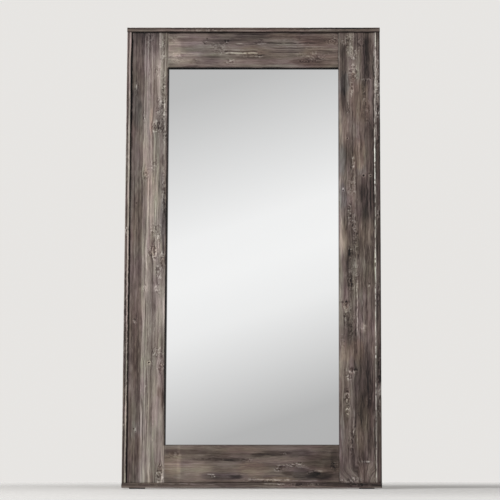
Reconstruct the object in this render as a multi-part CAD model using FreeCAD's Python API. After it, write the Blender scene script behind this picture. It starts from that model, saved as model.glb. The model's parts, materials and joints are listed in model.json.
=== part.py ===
import FreeCAD, Part
import math
import os

# A tall floor mirror in a frame of old pine boards. Wide face boards surround the glass, and a
# thinner board stands on edge round the outside, a little proud of them. Both are nailed to
# battens that nobody sees from the front. The mirror is drawn upright, the way it stands before
# it is leant on a wall: X to the right, -Y out of the glass, Z up, millimetres, with the origin
# on the floor under the middle of its footprint.

os.makedirs("parts", exist_ok=True)
Vector = FreeCAD.Vector

# Driving dimensions

# The mirror as seen in its frame
opening_width = 700.0
opening_height = 1540.0

# Face boards: stiles run the full height inside the edge boards, rails fit between the stiles
stile_width = 150.0
rail_width = 150.0
face_thickness = 22.0
face_arris = 1.2            # radius worn on their front corners

# Edge boards: the top and bottom ones cap the ends of the side ones
edge_thickness = 20.0
lip = 6.0                   # how far they stand proud of the face boards
outer_arris = 2.5
inner_arris = 3.5
rear_arris = 1.5

# Worn places on the right edge board's outer corner: share of its length up from the lower end,
# length and depth of the scoop
worn_places = ((0.20, 64.0, 3.0), (0.815, 48.0, 4.0), (0.87, 62.0, 3.0))

# Loose tenons between rails and stiles
tenon_thickness = 8.0
tenon_width = 70.0
tenon_length = 60.0
tenon_clearance = 0.1

# Glass and its bedding, front to back: tape, glass, backing sheet, back panel
tape_width = 8.0
tape_thickness = 1.0
tape_setback = 1.5          # from the edge of the opening, so that the tape doesn't show
glass_overlap = 10.0        # how far the glass reaches behind each face board
glass_thickness = 5.0
glass_clearance = 2.0       # between the glass and the walls of its rebate
glass_seam = 0.5            # ground chamfer on the edges of the glass
block_length = 80.0
block_inset = 140.0         # centre of each setting block from the end of the glass
sheet_thickness = 4.0
panel_thickness = 6.0
panel_clearance = 1.0       # between the back panel and the battens

# Battens and cross braces
batten_width = 45.0
batten_depth = 32.0
batten_arris = 1.5
rear_recess = 10.0          # room behind the battens for the hangers
brace_width = 70.0
brace_thickness = 20.0
brace_clearance = 0.5       # between the ends of a brace and the battens
brace_from_end = 500.0      # centre line of each brace from the end of the frame

# Square cut nails
face_nail_length = 45.0
face_nail_head = 6.5
face_nail_shank = 3.0
face_nail_inset = 26.0      # from the inside of the edge boards
face_nail_proud = 0.4
edge_nail_length = 40.0
edge_nail_head = 5.0
edge_nail_shank = 2.6
panel_nail_length = 20.0
panel_nail_head = 4.5
panel_nail_shank = 2.0
nail_head_thickness = 1.4
nail_tip_share = 0.5        # width of a nail's tip over the width of its shank
edge_nail_depth = 40.0      # from the front of the edge boards
edge_nail_end = 50.0        # first and last nail from the ends of a side board
side_nail_count = 5
cap_nail_count = 3
cap_nail_end = 190.0
corner_nail_depths = (20.0, 52.0)
panel_nail_edge = 20.0      # from the edge of the back panel
panel_nail_end = 60.0       # first and last nail of a side row from the end of the panel
panel_side_count = 4
panel_end_count = 2
panel_end_inset = 190.0     # of the nails in the rails, from the sides of the opening

# The face nails were driven by hand, so each board has its own uneven row: shares of its length
left_stile_nails = (0.117, 0.355, 0.614, 0.879)
right_stile_nails = (0.182, 0.434, 0.680, 0.929)
top_rail_nails = (0.226, 0.770)
bottom_rail_nails = (0.279, 0.742)

# Small coach screws with six-sided heads
screw_head_across = 7.0     # across the flats
screw_head_height = 2.4
screw_shank_radius = 2.0
screw_taper = 0.8           # width at the start of the point over the width under the head
screw_point = 5.0           # length of the point
screw_clearance = 0.2
brace_screw_length = 42.0
brace_screw_end = 45.0
brace_screw_spacing = 36.0
plate_screw_length = 16.0

# Flat corner plates over the corners of the battens
plate_leg = 80.0
plate_width = 18.0
plate_thickness = 2.0
plate_inset = 9.0           # from the inside of the edge boards
plate_corner = 3.0          # clipped off each outer corner
plate_hole_places = (38.0, 68.0)

# Ring hangers on the side battens
ring_wire = 4.0
ring_clearance = 0.3        # round the wire in its eye, and between the ring and its strap
ring_length = 33.0          # from the hinge to the middle of the wire at the bottom
ring_corner = 4.5
ring_side_gap = 1.5         # from each side of the strap to where the ring's corner begins
ring_bends = 5              # short straights that make up the ring's round end
strap_metal = 1.5
strap_width = 20.0
strap_length = 76.0         # below the hinge
strap_corner = 6.0          # clipped off the corners of its foot
strap_bend = 3.0            # middle radius of the bend below the eye
strap_seam = 0.1            # where the two layers of the strap close up
hinge_below_top = 380.0     # from the top of the frame
hanger_inset = 34.0         # centre line from the inside of the edge boards
hanger_screw_places = (44.0, 64.0)
hanger_screw_length = 25.0

# Rubber feet and wall bumpers
pad_length = 60.0
pad_thickness = 4.0
pad_setback = 4.0           # from the front and rear of the bottom edge board
pad_from_end = 60.0         # centre of each pad from the end of the board
pad_corner = 6.0            # clipped off each corner
bumper_size = 15.0
bumper_thickness = 3.0
bumper_corner = 3.0
bumper_from_end = 60.0      # from the top and bottom of the frame

# Places worked out from those sizes. Depths are counted backwards from the front of the edge
# boards, and heights from the floor.

rebate_depth = tape_thickness + glass_thickness + sheet_thickness
rebate_width = glass_overlap + glass_clearance

face_back = lip + face_thickness
rebate_front = face_back - rebate_depth
glass_front = rebate_front + tape_thickness
glass_back = glass_front + glass_thickness
panel_back = face_back + panel_thickness
brace_back = panel_back + brace_thickness
batten_back = face_back + batten_depth
edge_back = batten_back + rear_recess
front_y = -(edge_back + bumper_thickness) / 2

opening_x = opening_width / 2
inner_x = opening_x + stile_width
outer_x = inner_x + edge_thickness
batten_x = inner_x - batten_width
glass_x = opening_x + glass_overlap
panel_x = batten_x - panel_clearance

wood_bottom = pad_thickness
inner_bottom = wood_bottom + edge_thickness
opening_bottom = inner_bottom + rail_width
opening_top = opening_bottom + opening_height
inner_top = opening_top + rail_width
wood_top = inner_top + edge_thickness
inner_height = inner_top - inner_bottom
glass_bottom = opening_bottom - glass_overlap
glass_top = opening_top + glass_overlap
panel_bottom = inner_bottom + batten_width + panel_clearance
panel_top = inner_top - batten_width - panel_clearance

FRONT_TO_BACK = Vector(0, 1, 0)
BACK_TO_FRONT = Vector(0, -1, 0)


def at(x, depth, z):
    """A point given by its depth behind the front of the edge boards."""
    return Vector(x, front_y + depth, z)


def block(x_range, depth_range, z_range):
    size = [high - low for low, high in (x_range, depth_range, z_range)]
    return Part.makeBox(*size, at(x_range[0], depth_range[0], z_range[0]))


def rounded_outline(points, radii, place):
    """A face bounded by straight sides whose corners have the given radii, 0 for a sharp one."""
    starts, ends, edges = [], [], []
    for i, (corner, radius) in enumerate(zip(points, radii)):
        corner = Vector(*corner, 0)
        back = (Vector(*points[i - 1], 0) - corner).normalize()
        on = (Vector(*points[(i + 1) % len(points)], 0) - corner).normalize()
        half = back.getAngle(on) / 2
        reach = radius / math.tan(half)
        starts.append(corner + back * reach)
        ends.append(corner + on * reach)
        if radius > 0:
            middle_way = (back + on).normalize()
            crown = corner + middle_way * (radius / math.sin(half) - radius)
            arc = Part.Arc(place(starts[i]), place(crown), place(ends[i]))
            edges.append(arc.toShape())
    for i in range(len(points)):
        after = (i + 1) % len(points)
        edges.append(Part.LineSegment(place(ends[i]), place(starts[after])).toShape())
    return Part.Face(Part.Wire(Part.__sortEdges__(edges)))


def clipped_outline(points, clips, place):
    """A face whose corners are cut off straight by the given amounts, 0 for a whole corner."""
    outline = []
    for i, clip in enumerate(clips):
        corner = Vector(*points[i], 0)
        if clip > 0:
            for other in (points[i - 1], points[(i + 1) % len(points)]):
                outline.append(corner + (Vector(*other, 0) - corner).normalize() * clip)
        else:
            outline.append(corner)
    outline = [place(point) for point in outline]
    return Part.Face(Part.makePolygon(outline + outline[:1]))


def rectangle(low, high):
    return (low[0], low[1]), (high[0], low[1]), (high[0], high[1]), (low[0], high[1])


def upright_board(x_range, depth_range, z_range, radii):
    """A board along Z. Radii go round from the low x, low depth corner to the low x, high depth."""
    corners = rectangle(*zip(x_range, depth_range))
    face = rounded_outline(corners, radii, lambda p: at(p.x, p.y, z_range[0]))
    return face.extrude(Vector(0, 0, z_range[1] - z_range[0]))


def lying_board(x_range, corners, radii):
    """A board along X whose section is given as (depth, z) corners."""
    face = rounded_outline(corners, radii, lambda p: at(x_range[0], p.x, p.y))
    return face.extrude(Vector(x_range[1] - x_range[0], 0, 0))


def mirrored_x(shape):
    return shape.mirror(Vector(0, 0, 0), Vector(1, 0, 0))


def upside_down(shape):
    return shape.mirror(Vector(0, 0, (wood_bottom + wood_top) / 2), Vector(0, 0, 1))


def aimed(tool, point, direction):
    """A copy of a tool drawn with its head at the origin and its tip down -Z."""
    copy = tool.copy()
    copy.Placement = FreeCAD.Placement(point, FreeCAD.Rotation(Vector(0, 0, -1), direction))
    return copy


def evenly(first, last, count):
    return [first + (last - first) * i / (count - 1) for i in range(count)]


def save(name, shape):
    shape.exportStep("parts/" + name + ".step")


# Fasteners

def cut_nail(length, head, shank, proud):
    """Square nail: a flat head over a shank that tapers to a blunt tip on two sides."""
    neck, low = proud - nail_head_thickness, proud - length
    crown = Part.makeBox(head, head, nail_head_thickness, Vector(-head / 2, -head / 2, neck))
    wide, thin = shank / 2, shank / 2 * nail_tip_share
    corners = [(-wide, neck), (wide, neck), (thin, low), (-thin, low), (-wide, neck)]
    side = Part.Face(Part.makePolygon([Vector(x, -wide, z) for x, z in corners]))
    return crown.fuse(side.extrude(Vector(0, shank, 0)))


def hexagon(radius, z):
    turns = [turn * math.pi / 3 for turn in range(7)]
    return Part.makePolygon([Vector(radius * math.cos(t), radius * math.sin(t), z) for t in turns])


def coach_screw(length):
    """Screw whose head stands on the surface at z = 0. A six-sided taper stands for the thread."""
    head = Part.Face(hexagon(screw_head_across / math.sqrt(3), 0))
    head = head.extrude(Vector(0, 0, screw_head_height))
    shank = Part.makeLoft([hexagon(screw_shank_radius, 0),
                           hexagon(screw_shank_radius * screw_taper, screw_point - length),
                           Part.Vertex(0, 0, -length)], True, True)
    return head.fuse(shank)


def screw_hole(depth):
    return Part.makeCylinder(screw_shank_radius + screw_clearance, depth, Vector(0, 0, -depth))


# Where the nails go

def face_nail_places():
    side_x = inner_x - face_nail_inset
    places = []
    for x, shares in ((-side_x, left_stile_nails), (side_x, right_stile_nails)):
        places += [at(x, lip, inner_bottom + inner_height * share) for share in shares]
    for z, shares in ((inner_top - face_nail_inset, top_rail_nails),
                      (inner_bottom + face_nail_inset, bottom_rail_nails)):
        places += [at(opening_width * (share - 0.5), lip, z) for share in shares]
    return [(place, FRONT_TO_BACK) for place in places]


def edge_nail_places():
    places = []
    for side in (-1, 1):
        for z in evenly(inner_bottom + edge_nail_end, inner_top - edge_nail_end, side_nail_count):
            places.append((at(side * outer_x, edge_nail_depth, z), Vector(-side, 0, 0)))
    cap_x = inner_x - cap_nail_end
    corner_x = outer_x - edge_thickness / 2
    for z, way in ((wood_top, Vector(0, 0, -1)), (wood_bottom, Vector(0, 0, 1))):
        for x in evenly(-cap_x, cap_x, cap_nail_count):
            places.append((at(x, edge_nail_depth, z), way))
        for x in (-corner_x, corner_x):
            places += [(at(x, depth, z), way) for depth in corner_nail_depths]
    return places


def panel_nail_places():
    side_x = panel_x - panel_nail_edge
    end_x = opening_x - panel_end_inset
    places = [(x, z) for x in (-side_x, side_x)
              for z in evenly(panel_bottom + panel_nail_end, panel_top - panel_nail_end,
                              panel_side_count)]
    places += [(x, z) for x in evenly(-end_x, end_x, panel_end_count)
               for z in (panel_bottom + panel_nail_edge, panel_top - panel_nail_edge)]
    return [(at(x, panel_back, z), BACK_TO_FRONT) for x, z in places]


def nails(length, head, shank, proud, places):
    nail = cut_nail(length, head, shank, proud)
    return [aimed(nail, point, direction) for point, direction in places]


face_nails = nails(face_nail_length, face_nail_head, face_nail_shank, face_nail_proud,
                   face_nail_places())
edge_nails = nails(edge_nail_length, edge_nail_head, edge_nail_shank, 0, edge_nail_places())
panel_nails = nails(panel_nail_length, panel_nail_head, panel_nail_shank, 0, panel_nail_places())


def nailed(board):
    """The board with a slot for every nail that passes through it."""
    near = [nail for nail in face_nails + edge_nails + panel_nails
            if nail.BoundBox.intersect(board.BoundBox)]
    return board.cut(near) if near else board


# Face boards

def tenon(side, level):
    """Loose tenon across the joint between a rail and a stile. side and level are -1 or 1."""
    rail_middle = rail_width / 2
    z = inner_top - rail_middle if level > 0 else inner_bottom + rail_middle
    depth = lip + face_thickness / 2
    return (side * opening_x, depth, z)


def tenon_block(place, spare):
    x, depth, z = place
    length, thickness, width = tenon_length + spare, tenon_thickness + spare, tenon_width + spare
    return block((x - length / 2, x + length / 2), (depth - thickness / 2, depth + thickness / 2),
                 (z - width / 2, z + width / 2))


tenon_places = [tenon(side, level) for side in (-1, 1) for level in (-1, 1)]
mortises = [tenon_block(place, 2 * tenon_clearance) for place in tenon_places]


def right_stile():
    board = upright_board((opening_x, inner_x), (lip, face_back), (inner_bottom, inner_top),
                          (face_arris, face_arris, 0, 0))
    rebate = block((opening_x, opening_x + rebate_width), (rebate_front, face_back),
                   (opening_bottom - rebate_width, opening_top + rebate_width))
    return board.cut([rebate] + mortises)


def top_rail():
    corners = ((lip, opening_top), (rebate_front, opening_top),
               (rebate_front, opening_top + rebate_width), (face_back, opening_top + rebate_width),
               (face_back, inner_top), (lip, inner_top))
    board = lying_board((-opening_x, opening_x), corners, (face_arris, 0, 0, 0, 0, face_arris))
    return board.cut(mortises)


# Edge boards

def scoop(x, z, length, depth):
    """Cutter for a worn place on the corner at x and the front, shaped like a shallow saucer."""
    radius = (length ** 2 / 4 + depth ** 2) / (2 * depth)
    outward = Vector(1, -1, 0).normalize()
    along = Vector(1, 1, 0).normalize()
    centre = at(x, 0, z) + outward * (radius - depth)
    return Part.makeCylinder(radius, 2 * edge_thickness, centre - along * edge_thickness, along)


def right_edge_board(scoops):
    board = upright_board((inner_x, outer_x), (0, edge_back), (inner_bottom, inner_top),
                          (inner_arris, outer_arris, rear_arris, rear_arris))
    cutters = [scoop(outer_x, inner_bottom + inner_height * share, length, depth)
               for share, length, depth in scoops]
    return board.cut(cutters) if cutters else board


def top_edge_board():
    corners = ((0, inner_top), (edge_back, inner_top), (edge_back, wood_top), (0, wood_top))
    return lying_board((-outer_x, outer_x), corners,
                       (inner_arris, rear_arris, rear_arris, outer_arris))


# Glass and bedding

def glass():
    plate = block((-glass_x, glass_x), (glass_front, glass_back), (glass_bottom, glass_top))
    return plate.makeChamfer(glass_seam, plate.Edges)


def tape_strips():
    inside_x = opening_x + tape_setback
    outside_x = inside_x + tape_width
    depths = (rebate_front, glass_front)
    low, high = opening_bottom - tape_setback, opening_top + tape_setback
    strips = [block((-outside_x, outside_x), depths, (z, z + tape_width))
              for z in (low - tape_width, high)]
    strips += [block((x, x + tape_width), depths, (low, high)) for x in (-outside_x, inside_x)]
    return strips


def setting_blocks():
    middle = glass_x - block_inset
    half = block_length / 2
    return [block((x - half, x + half), (glass_front, glass_back),
                  (glass_bottom - glass_clearance, glass_bottom)) for x in (-middle, middle)]


def backing_sheet():
    return block((-glass_x, glass_x), (glass_back, face_back), (glass_bottom, glass_top))


# Back panel and cross braces

brace_levels = (wood_bottom + brace_from_end, wood_top - brace_from_end)
brace_x = batten_x - brace_clearance


def brace_screw_places():
    screw_x = brace_x - brace_screw_end
    return [(x, level + step * brace_screw_spacing / 2)
            for level in brace_levels for x in (-screw_x, screw_x) for step in (-1, 1)]


def back_panel():
    return block((-panel_x, panel_x), (face_back, panel_back), (panel_bottom, panel_top))


def cross_brace(level):
    low, high = level - brace_width / 2, level + brace_width / 2
    corners = ((panel_back, low), (brace_back, low), (brace_back, high), (panel_back, high))
    board = lying_board((-brace_x, brace_x), corners, (0, batten_arris, batten_arris, 0))
    holes = [aimed(screw_hole(brace_thickness), at(x, brace_back, z), BACK_TO_FRONT)
             for x, z in brace_screw_places() if low < z < high]
    return board.cut(holes)


# Battens

def right_batten():
    return upright_board((batten_x, inner_x), (face_back, batten_back), (inner_bottom, inner_top),
                         (0, 0, 0, batten_arris))


def top_batten():
    low = inner_top - batten_width
    corners = ((face_back, low), (batten_back, low), (batten_back, inner_top),
               (face_back, inner_top))
    return lying_board((-batten_x, batten_x), corners, (0, batten_arris, 0, 0))


# Corner plates

plate_x = inner_x - plate_inset
plate_top = inner_top - plate_inset


def plate_hole_points():
    """Holes of the top right plate: two in the level leg and two in the upright one."""
    middle = plate_width / 2
    return ([(plate_x - place, plate_top - middle) for place in plate_hole_places]
            + [(plate_x - middle, plate_top - place) for place in plate_hole_places])


def top_right_plate():
    far_x, low = plate_x - plate_leg, plate_top - plate_leg
    near_x, bend = plate_x - plate_width, plate_top - plate_width
    corners = ((plate_x, plate_top), (far_x, plate_top), (far_x, bend), (near_x, bend),
               (near_x, low), (plate_x, low))
    clips = [0 if corner == (near_x, bend) else plate_corner for corner in corners]
    face = clipped_outline(corners, clips, lambda p: at(p.x, batten_back, p.y))
    plate = face.extrude(Vector(0, plate_thickness, 0))
    hole = screw_hole(plate_thickness)
    rear = batten_back + plate_thickness
    return plate.cut([aimed(hole, at(x, rear, z), BACK_TO_FRONT) for x, z in plate_hole_points()])


def plate_screws():
    screw = coach_screw(plate_screw_length)
    rear = batten_back + plate_thickness
    right = [aimed(screw, at(x, rear, z), BACK_TO_FRONT) for x, z in plate_hole_points()]
    top = right + [mirrored_x(s) for s in right]
    return top + [upside_down(s) for s in top]


# Hangers, drawn on the right batten. The strap is one strip of steel, folded round the straight
# side of the ring so that it has an eye at the top and two layers below.

wire_radius = ring_wire / 2
eye_radius = wire_radius + ring_clearance
eye_outer = eye_radius + strap_metal
hinge_depth = batten_back + eye_outer
hinge_x = inner_x - hanger_inset
hinge_z = wood_top - hinge_below_top
strap_layers = 2 * strap_metal


def hanger_strap():
    def point(out, up):
        """out is counted from the batten, and up from the hinge."""
        return at(hinge_x - strap_width / 2, batten_back + out, hinge_z + up)

    middle = eye_radius + strap_metal / 2
    bend_out = strap_metal * 1.5 + strap_bend
    turn = math.acos((bend_out - eye_outer) / (middle + strap_bend))
    crown = (math.pi - turn) / 2
    bend_up = -(middle + strap_bend) * math.sin(turn)
    bend_inner, bend_outer = strap_bend - strap_metal / 2, strap_bend + strap_metal / 2

    def on_eye(radius, angle):
        return point(eye_outer + radius * math.cos(angle), radius * math.sin(angle))

    def on_bend(radius, angle):
        return point(bend_out - radius * math.cos(angle), bend_up + radius * math.sin(angle))

    line = Part.LineSegment
    outside = Part.Wire([edge.toShape() for edge in (
        line(point(strap_layers, -strap_length), point(strap_layers, bend_up)),
        Part.Arc(on_bend(bend_inner, 0), on_bend(bend_inner, turn / 2), on_bend(bend_inner, turn)),
        Part.Arc(on_eye(eye_outer, -turn), on_eye(eye_outer, crown),
                 on_eye(eye_outer, math.pi)),
        line(point(0, 0), point(0, -strap_length)),
        line(point(0, -strap_length), point(strap_layers, -strap_length)))])
    shut = math.acos((bend_out - strap_metal - strap_seam) / bend_outer)
    shut_up = bend_up + bend_outer * math.sin(shut)
    inside = Part.Wire([edge.toShape() for edge in (
        Part.Arc(on_bend(bend_outer, shut), on_bend(bend_outer, (shut + turn) / 2),
                 on_bend(bend_outer, turn)),
        Part.Arc(on_eye(eye_radius, -turn), on_eye(eye_radius, crown),
                 on_eye(eye_radius, math.pi)),
        line(point(strap_metal, 0), point(strap_metal, shut_up)),
        line(point(strap_metal, shut_up), on_bend(bend_outer, shut)))])
    strip = Part.Face(outside).cut(Part.Face(inside)).extrude(Vector(strap_width, 0, 0))
    hole = screw_hole(strap_layers)
    strip = strip.cut([aimed(hole, at(hinge_x, batten_back + strap_layers, hinge_z - place),
                             BACK_TO_FRONT) for place in hanger_screw_places])
    lowest_hole = hinge_z - max(hanger_screw_places)
    foot = [edge for edge in strip.Edges
            if edge.BoundBox.ZMax < lowest_hole and edge.BoundBox.YLength > strap_metal]
    return strip.makeChamfer(strap_corner, foot)


def hanger_ring():
    """Round wire bent to a D. It hangs down over the strap, leaning out just enough to clear it
    where its round end crosses the sides of the strap."""
    shoulder = strap_width / 2 + ring_side_gap
    half = shoulder + ring_corner
    arch = half - ring_length

    def bend(centre_x, centre_up, radius, first, last, count):
        return [Vector(centre_x + radius * math.cos(math.radians(angle)), 0,
                       centre_up + radius * math.sin(math.radians(angle)))
                for angle in evenly(first, last, count + 1)]

    points = (bend(shoulder, -ring_corner, ring_corner, 90, 0, 1)
              + bend(0, arch, half, 0, -180, ring_bends)
              + bend(-shoulder, -ring_corner, ring_corner, 180, 90, 1))
    start = (points[0] + points[-1]) / 2
    path = Part.makePolygon([start] + points + [start])
    circle = Part.Circle(start, Vector(1, 0, 0), wire_radius)
    ring = path.makePipeShell([Part.Wire(circle.toShape())], True, False, 1)
    true_volume = math.pi * wire_radius ** 2 * path.Length
    print("ring volume over section times length:", round(ring.Volume / true_volume, 5))
    rest_out = strap_layers + ring_clearance + wire_radius
    crossing = math.sqrt(half ** 2 - strap_width ** 2 / 4) - arch
    lean = math.degrees(math.asin((rest_out - eye_outer) / crossing))
    ring.rotate(Vector(0, 0, 0), Vector(1, 0, 0), lean)
    ring.translate(at(hinge_x, hinge_depth, hinge_z))
    return ring


def hanger_screws():
    screw = coach_screw(hanger_screw_length)
    right = [aimed(screw, at(hinge_x, batten_back + strap_layers, hinge_z - place), BACK_TO_FRONT)
             for place in hanger_screw_places]
    return right + [mirrored_x(s) for s in right]


# Feet and bumpers

def right_pad():
    middle, half = outer_x - pad_from_end, pad_length / 2
    corners = rectangle((middle - half, pad_setback), (middle + half, edge_back - pad_setback))
    face = clipped_outline(corners, [pad_corner] * 4, lambda p: at(p.x, p.y, 0))
    return face.extrude(Vector(0, 0, pad_thickness))


def top_right_bumper():
    x, z, half = outer_x - edge_thickness / 2, wood_top - bumper_from_end, bumper_size / 2
    corners = rectangle((x - half, z - half), (x + half, z + half))
    face = clipped_outline(corners, [bumper_corner] * 4, lambda p: at(p.x, edge_back, p.y))
    return face.extrude(Vector(0, bumper_thickness, 0))


# Every piece, in its place

stile = right_stile()
save("right_stile", nailed(stile))
save("left_stile", nailed(mirrored_x(stile)))
rail = top_rail()
save("top_rail", nailed(rail))
save("bottom_rail", nailed(upside_down(rail)))
save("rail_tenons", Part.Compound([tenon_block(place, 0) for place in tenon_places]))

save("right_edge_board", nailed(right_edge_board(worn_places)))
save("left_edge_board", nailed(mirrored_x(right_edge_board(()))))
cap = top_edge_board()
save("top_edge_board", nailed(cap))
save("bottom_edge_board", nailed(upside_down(cap)))

side_batten, end_batten = right_batten(), top_batten()
save("right_batten", nailed(side_batten))
save("left_batten", nailed(mirrored_x(side_batten)))
save("top_batten", nailed(end_batten))
save("bottom_batten", nailed(upside_down(end_batten)))

save("mirror_glass", glass())
save("glazing_tape", Part.Compound(tape_strips()))
save("glass_setting_blocks", Part.Compound(setting_blocks()))
save("glass_backing_sheet", backing_sheet())
save("back_panel", nailed(back_panel()))
save("lower_cross_brace", cross_brace(brace_levels[0]))
save("upper_cross_brace", cross_brace(brace_levels[1]))

plate = top_right_plate()
save("corner_plate_top_right", plate)
save("corner_plate_top_left", mirrored_x(plate))
save("corner_plate_bottom_right", upside_down(plate))
save("corner_plate_bottom_left", upside_down(mirrored_x(plate)))

strap, ring = hanger_strap(), hanger_ring()
save("right_hanger_strap", strap)
save("left_hanger_strap", mirrored_x(strap))
save("right_hanger_ring", ring)
save("left_hanger_ring", mirrored_x(ring))

save("face_nails", Part.Compound(face_nails))
save("edge_board_nails", Part.Compound(edge_nails))
save("back_panel_nails", Part.Compound(panel_nails))
brace_screw = coach_screw(brace_screw_length)
save("brace_screws", Part.Compound([aimed(brace_screw, at(x, brace_back, z), BACK_TO_FRONT)
                                    for x, z in brace_screw_places()]))
save("corner_plate_screws", Part.Compound(plate_screws()))
save("hanger_screws", Part.Compound(hanger_screws()))

pad = right_pad()
save("right_floor_pad", pad)
save("left_floor_pad", mirrored_x(pad))
bumper = top_right_bumper()
top_bumpers = [bumper, mirrored_x(bumper)]
save("wall_bumpers", Part.Compound(top_bumpers + [upside_down(b) for b in top_bumpers]))
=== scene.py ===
import bpy
import json
import math
import numpy as np
from mathutils import Matrix, Vector


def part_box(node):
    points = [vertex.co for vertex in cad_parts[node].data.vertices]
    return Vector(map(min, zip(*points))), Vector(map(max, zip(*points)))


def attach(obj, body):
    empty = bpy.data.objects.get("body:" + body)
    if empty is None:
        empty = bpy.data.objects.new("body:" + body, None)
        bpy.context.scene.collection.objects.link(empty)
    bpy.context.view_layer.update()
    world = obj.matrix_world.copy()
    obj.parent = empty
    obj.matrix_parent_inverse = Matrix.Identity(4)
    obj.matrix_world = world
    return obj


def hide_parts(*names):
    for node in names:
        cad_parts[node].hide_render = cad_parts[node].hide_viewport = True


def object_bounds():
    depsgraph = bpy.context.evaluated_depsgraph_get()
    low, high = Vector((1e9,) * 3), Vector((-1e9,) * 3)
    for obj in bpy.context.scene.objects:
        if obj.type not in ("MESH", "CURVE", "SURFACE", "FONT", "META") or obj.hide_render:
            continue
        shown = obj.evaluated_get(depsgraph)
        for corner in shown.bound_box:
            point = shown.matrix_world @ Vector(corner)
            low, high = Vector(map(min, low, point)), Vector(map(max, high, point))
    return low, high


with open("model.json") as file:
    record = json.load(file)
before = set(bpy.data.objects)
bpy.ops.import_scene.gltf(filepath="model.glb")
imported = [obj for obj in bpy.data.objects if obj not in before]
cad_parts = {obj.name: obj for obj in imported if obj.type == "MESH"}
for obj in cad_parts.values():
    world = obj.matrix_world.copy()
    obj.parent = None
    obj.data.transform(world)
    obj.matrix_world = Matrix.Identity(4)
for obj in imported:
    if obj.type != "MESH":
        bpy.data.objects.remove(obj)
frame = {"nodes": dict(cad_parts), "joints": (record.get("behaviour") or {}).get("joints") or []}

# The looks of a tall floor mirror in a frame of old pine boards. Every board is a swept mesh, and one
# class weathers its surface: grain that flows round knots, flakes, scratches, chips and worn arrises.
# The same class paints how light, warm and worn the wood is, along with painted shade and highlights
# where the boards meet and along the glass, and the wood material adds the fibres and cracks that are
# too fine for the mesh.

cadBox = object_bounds()
mm = 0.001
frameBody = "mirror_frame"


class Level:
    # One number that varies over a surface. Sums and products of levels become Math nodes
    def __init__(self, graph, socket):
        self.graph, self.socket = graph, socket

    def __add__(self, other):
        return self.graph.maths("ADD", self, other)

    def __sub__(self, other):
        return self.graph.maths("SUBTRACT", self, other)

    def __rsub__(self, other):
        return self.graph.maths("SUBTRACT", other, self)

    def __mul__(self, other):
        return self.graph.maths("MULTIPLY", self, other)

    def __truediv__(self, other):
        return self.graph.maths("DIVIDE", self, other)

    __radd__ = __add__
    __rmul__ = __mul__


class Graph:
    def __init__(self, tree):
        self.tree = tree

    def node(self, kind, inputs=None, **settings):
        made = self.tree.nodes.new(kind)
        for name, value in settings.items():
            if name == "stops":
                self.fillRamp(made.color_ramp, value)
            else:
                setattr(made, name, value)
        for name, value in (inputs or {}).items():
            self.feed(made.inputs[name], value)
        return made

    def fillRamp(self, ramp, stops):
        while len(ramp.elements) < len(stops):
            ramp.elements.new(1)
        for element, (position, colour) in zip(ramp.elements, stops):
            element.position = position
            element.color = (*colour, 1)

    def feed(self, socket, value):
        # the value may be a level, a node (for its first output), another socket or a plain value
        if isinstance(value, Level):
            value = value.socket
        if isinstance(value, bpy.types.Node):
            value = value.outputs[0]
        if isinstance(value, bpy.types.NodeSocket):
            self.tree.links.new(value, socket)
        elif socket.type == "RGBA":
            socket.default_value = (*value, 1)
        else:
            socket.default_value = value

    def maths(self, operation, first, second=0.0, clamp=False):
        made = self.node("ShaderNodeMath", {0: first, 1: second}, operation=operation, use_clamp=clamp)
        return Level(self, made.outputs[0])

    def mix(self, factor, first, second, blend="MIX"):
        inputs = {0: factor, 6: first, 7: second}
        return self.node("ShaderNodeMix", inputs, data_type="RGBA", blend_type=blend).outputs[2]

    def stretched(self, vector, scale):
        return self.node("ShaderNodeVectorMath", {0: vector, 1: scale}, operation="MULTIPLY").outputs[0]

    def noise(self, vector, scale, detail=3.0, roughness=0.5):
        inputs = {"Vector": vector, "Scale": scale, "Detail": detail, "Roughness": roughness}
        return Level(self, self.node("ShaderNodeTexNoise", inputs).outputs["Fac"]) - 0.5

    def ramp(self, level, stops):
        return self.node("ShaderNodeValToRGB", {"Fac": level}, stops=stops).outputs["Color"]


class Finish(Graph):
    # A material: its Principled shader, and what varies over the surface
    def __init__(self, name, **constants):
        self.material = bpy.data.materials.new(name)
        self.material.use_nodes = True
        super().__init__(self.material.node_tree)
        self.shader = self.tree.nodes["Principled BSDF"]
        for socket, value in constants.items():
            self.feed(self.shader.inputs[socket.replace("_", " ")], value)

    def place(self):
        return self.node("ShaderNodeTexCoord").outputs["Object"]

    def vary(self, socket, value):
        self.feed(self.shader.inputs[socket], value)

    def bump(self, height, distance, strength=1.0):
        inputs = {"Height": height, "Distance": distance, "Strength": strength}
        self.vary("Normal", self.node("ShaderNodeBump", inputs).outputs["Normal"])


# how many times each pattern repeats in a metre: across the grain, along it and through it
woodGrain = {
    "fibre": (1400, 26, 1400), "streak": (420, 6, 420), "split": (430, 5, 430), "splitPatch": (90, 7, 90),
    "splitWidth": 0.022, "splitGate": 0.02}
oldPine = {
    "redDark": 1.24, "redFall": 0.37, "redLeast": 1.055, "blue": 0.94,    # red and blue over green
    "warmTint": (1.10, 0.985, 0.91), "coolTint": (0.94, 0.99, 1.06),
    "pinkTint": (1.035, 0.93, 1.045), "greenTint": (0.965, 1.07, 0.955),
    "fibre": 0.30, "streak": 0.16, "checks": 0.17, "bump": 0.45 * mm, "roughness": 0.80}
rawPine = {
    "redDark": 1.30, "redFall": 0.22, "redLeast": 1.08, "blue": 0.79,
    "warmTint": (1.10, 0.99, 0.86), "coolTint": (0.95, 1.0, 1.08),
    "pinkTint": (1.02, 0.98, 1.0), "greenTint": (0.98, 1.02, 1.0),
    "fibre": 0.16, "streak": 0.13, "checks": 0.05, "bump": 0.15 * mm, "roughness": 0.66}


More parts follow.
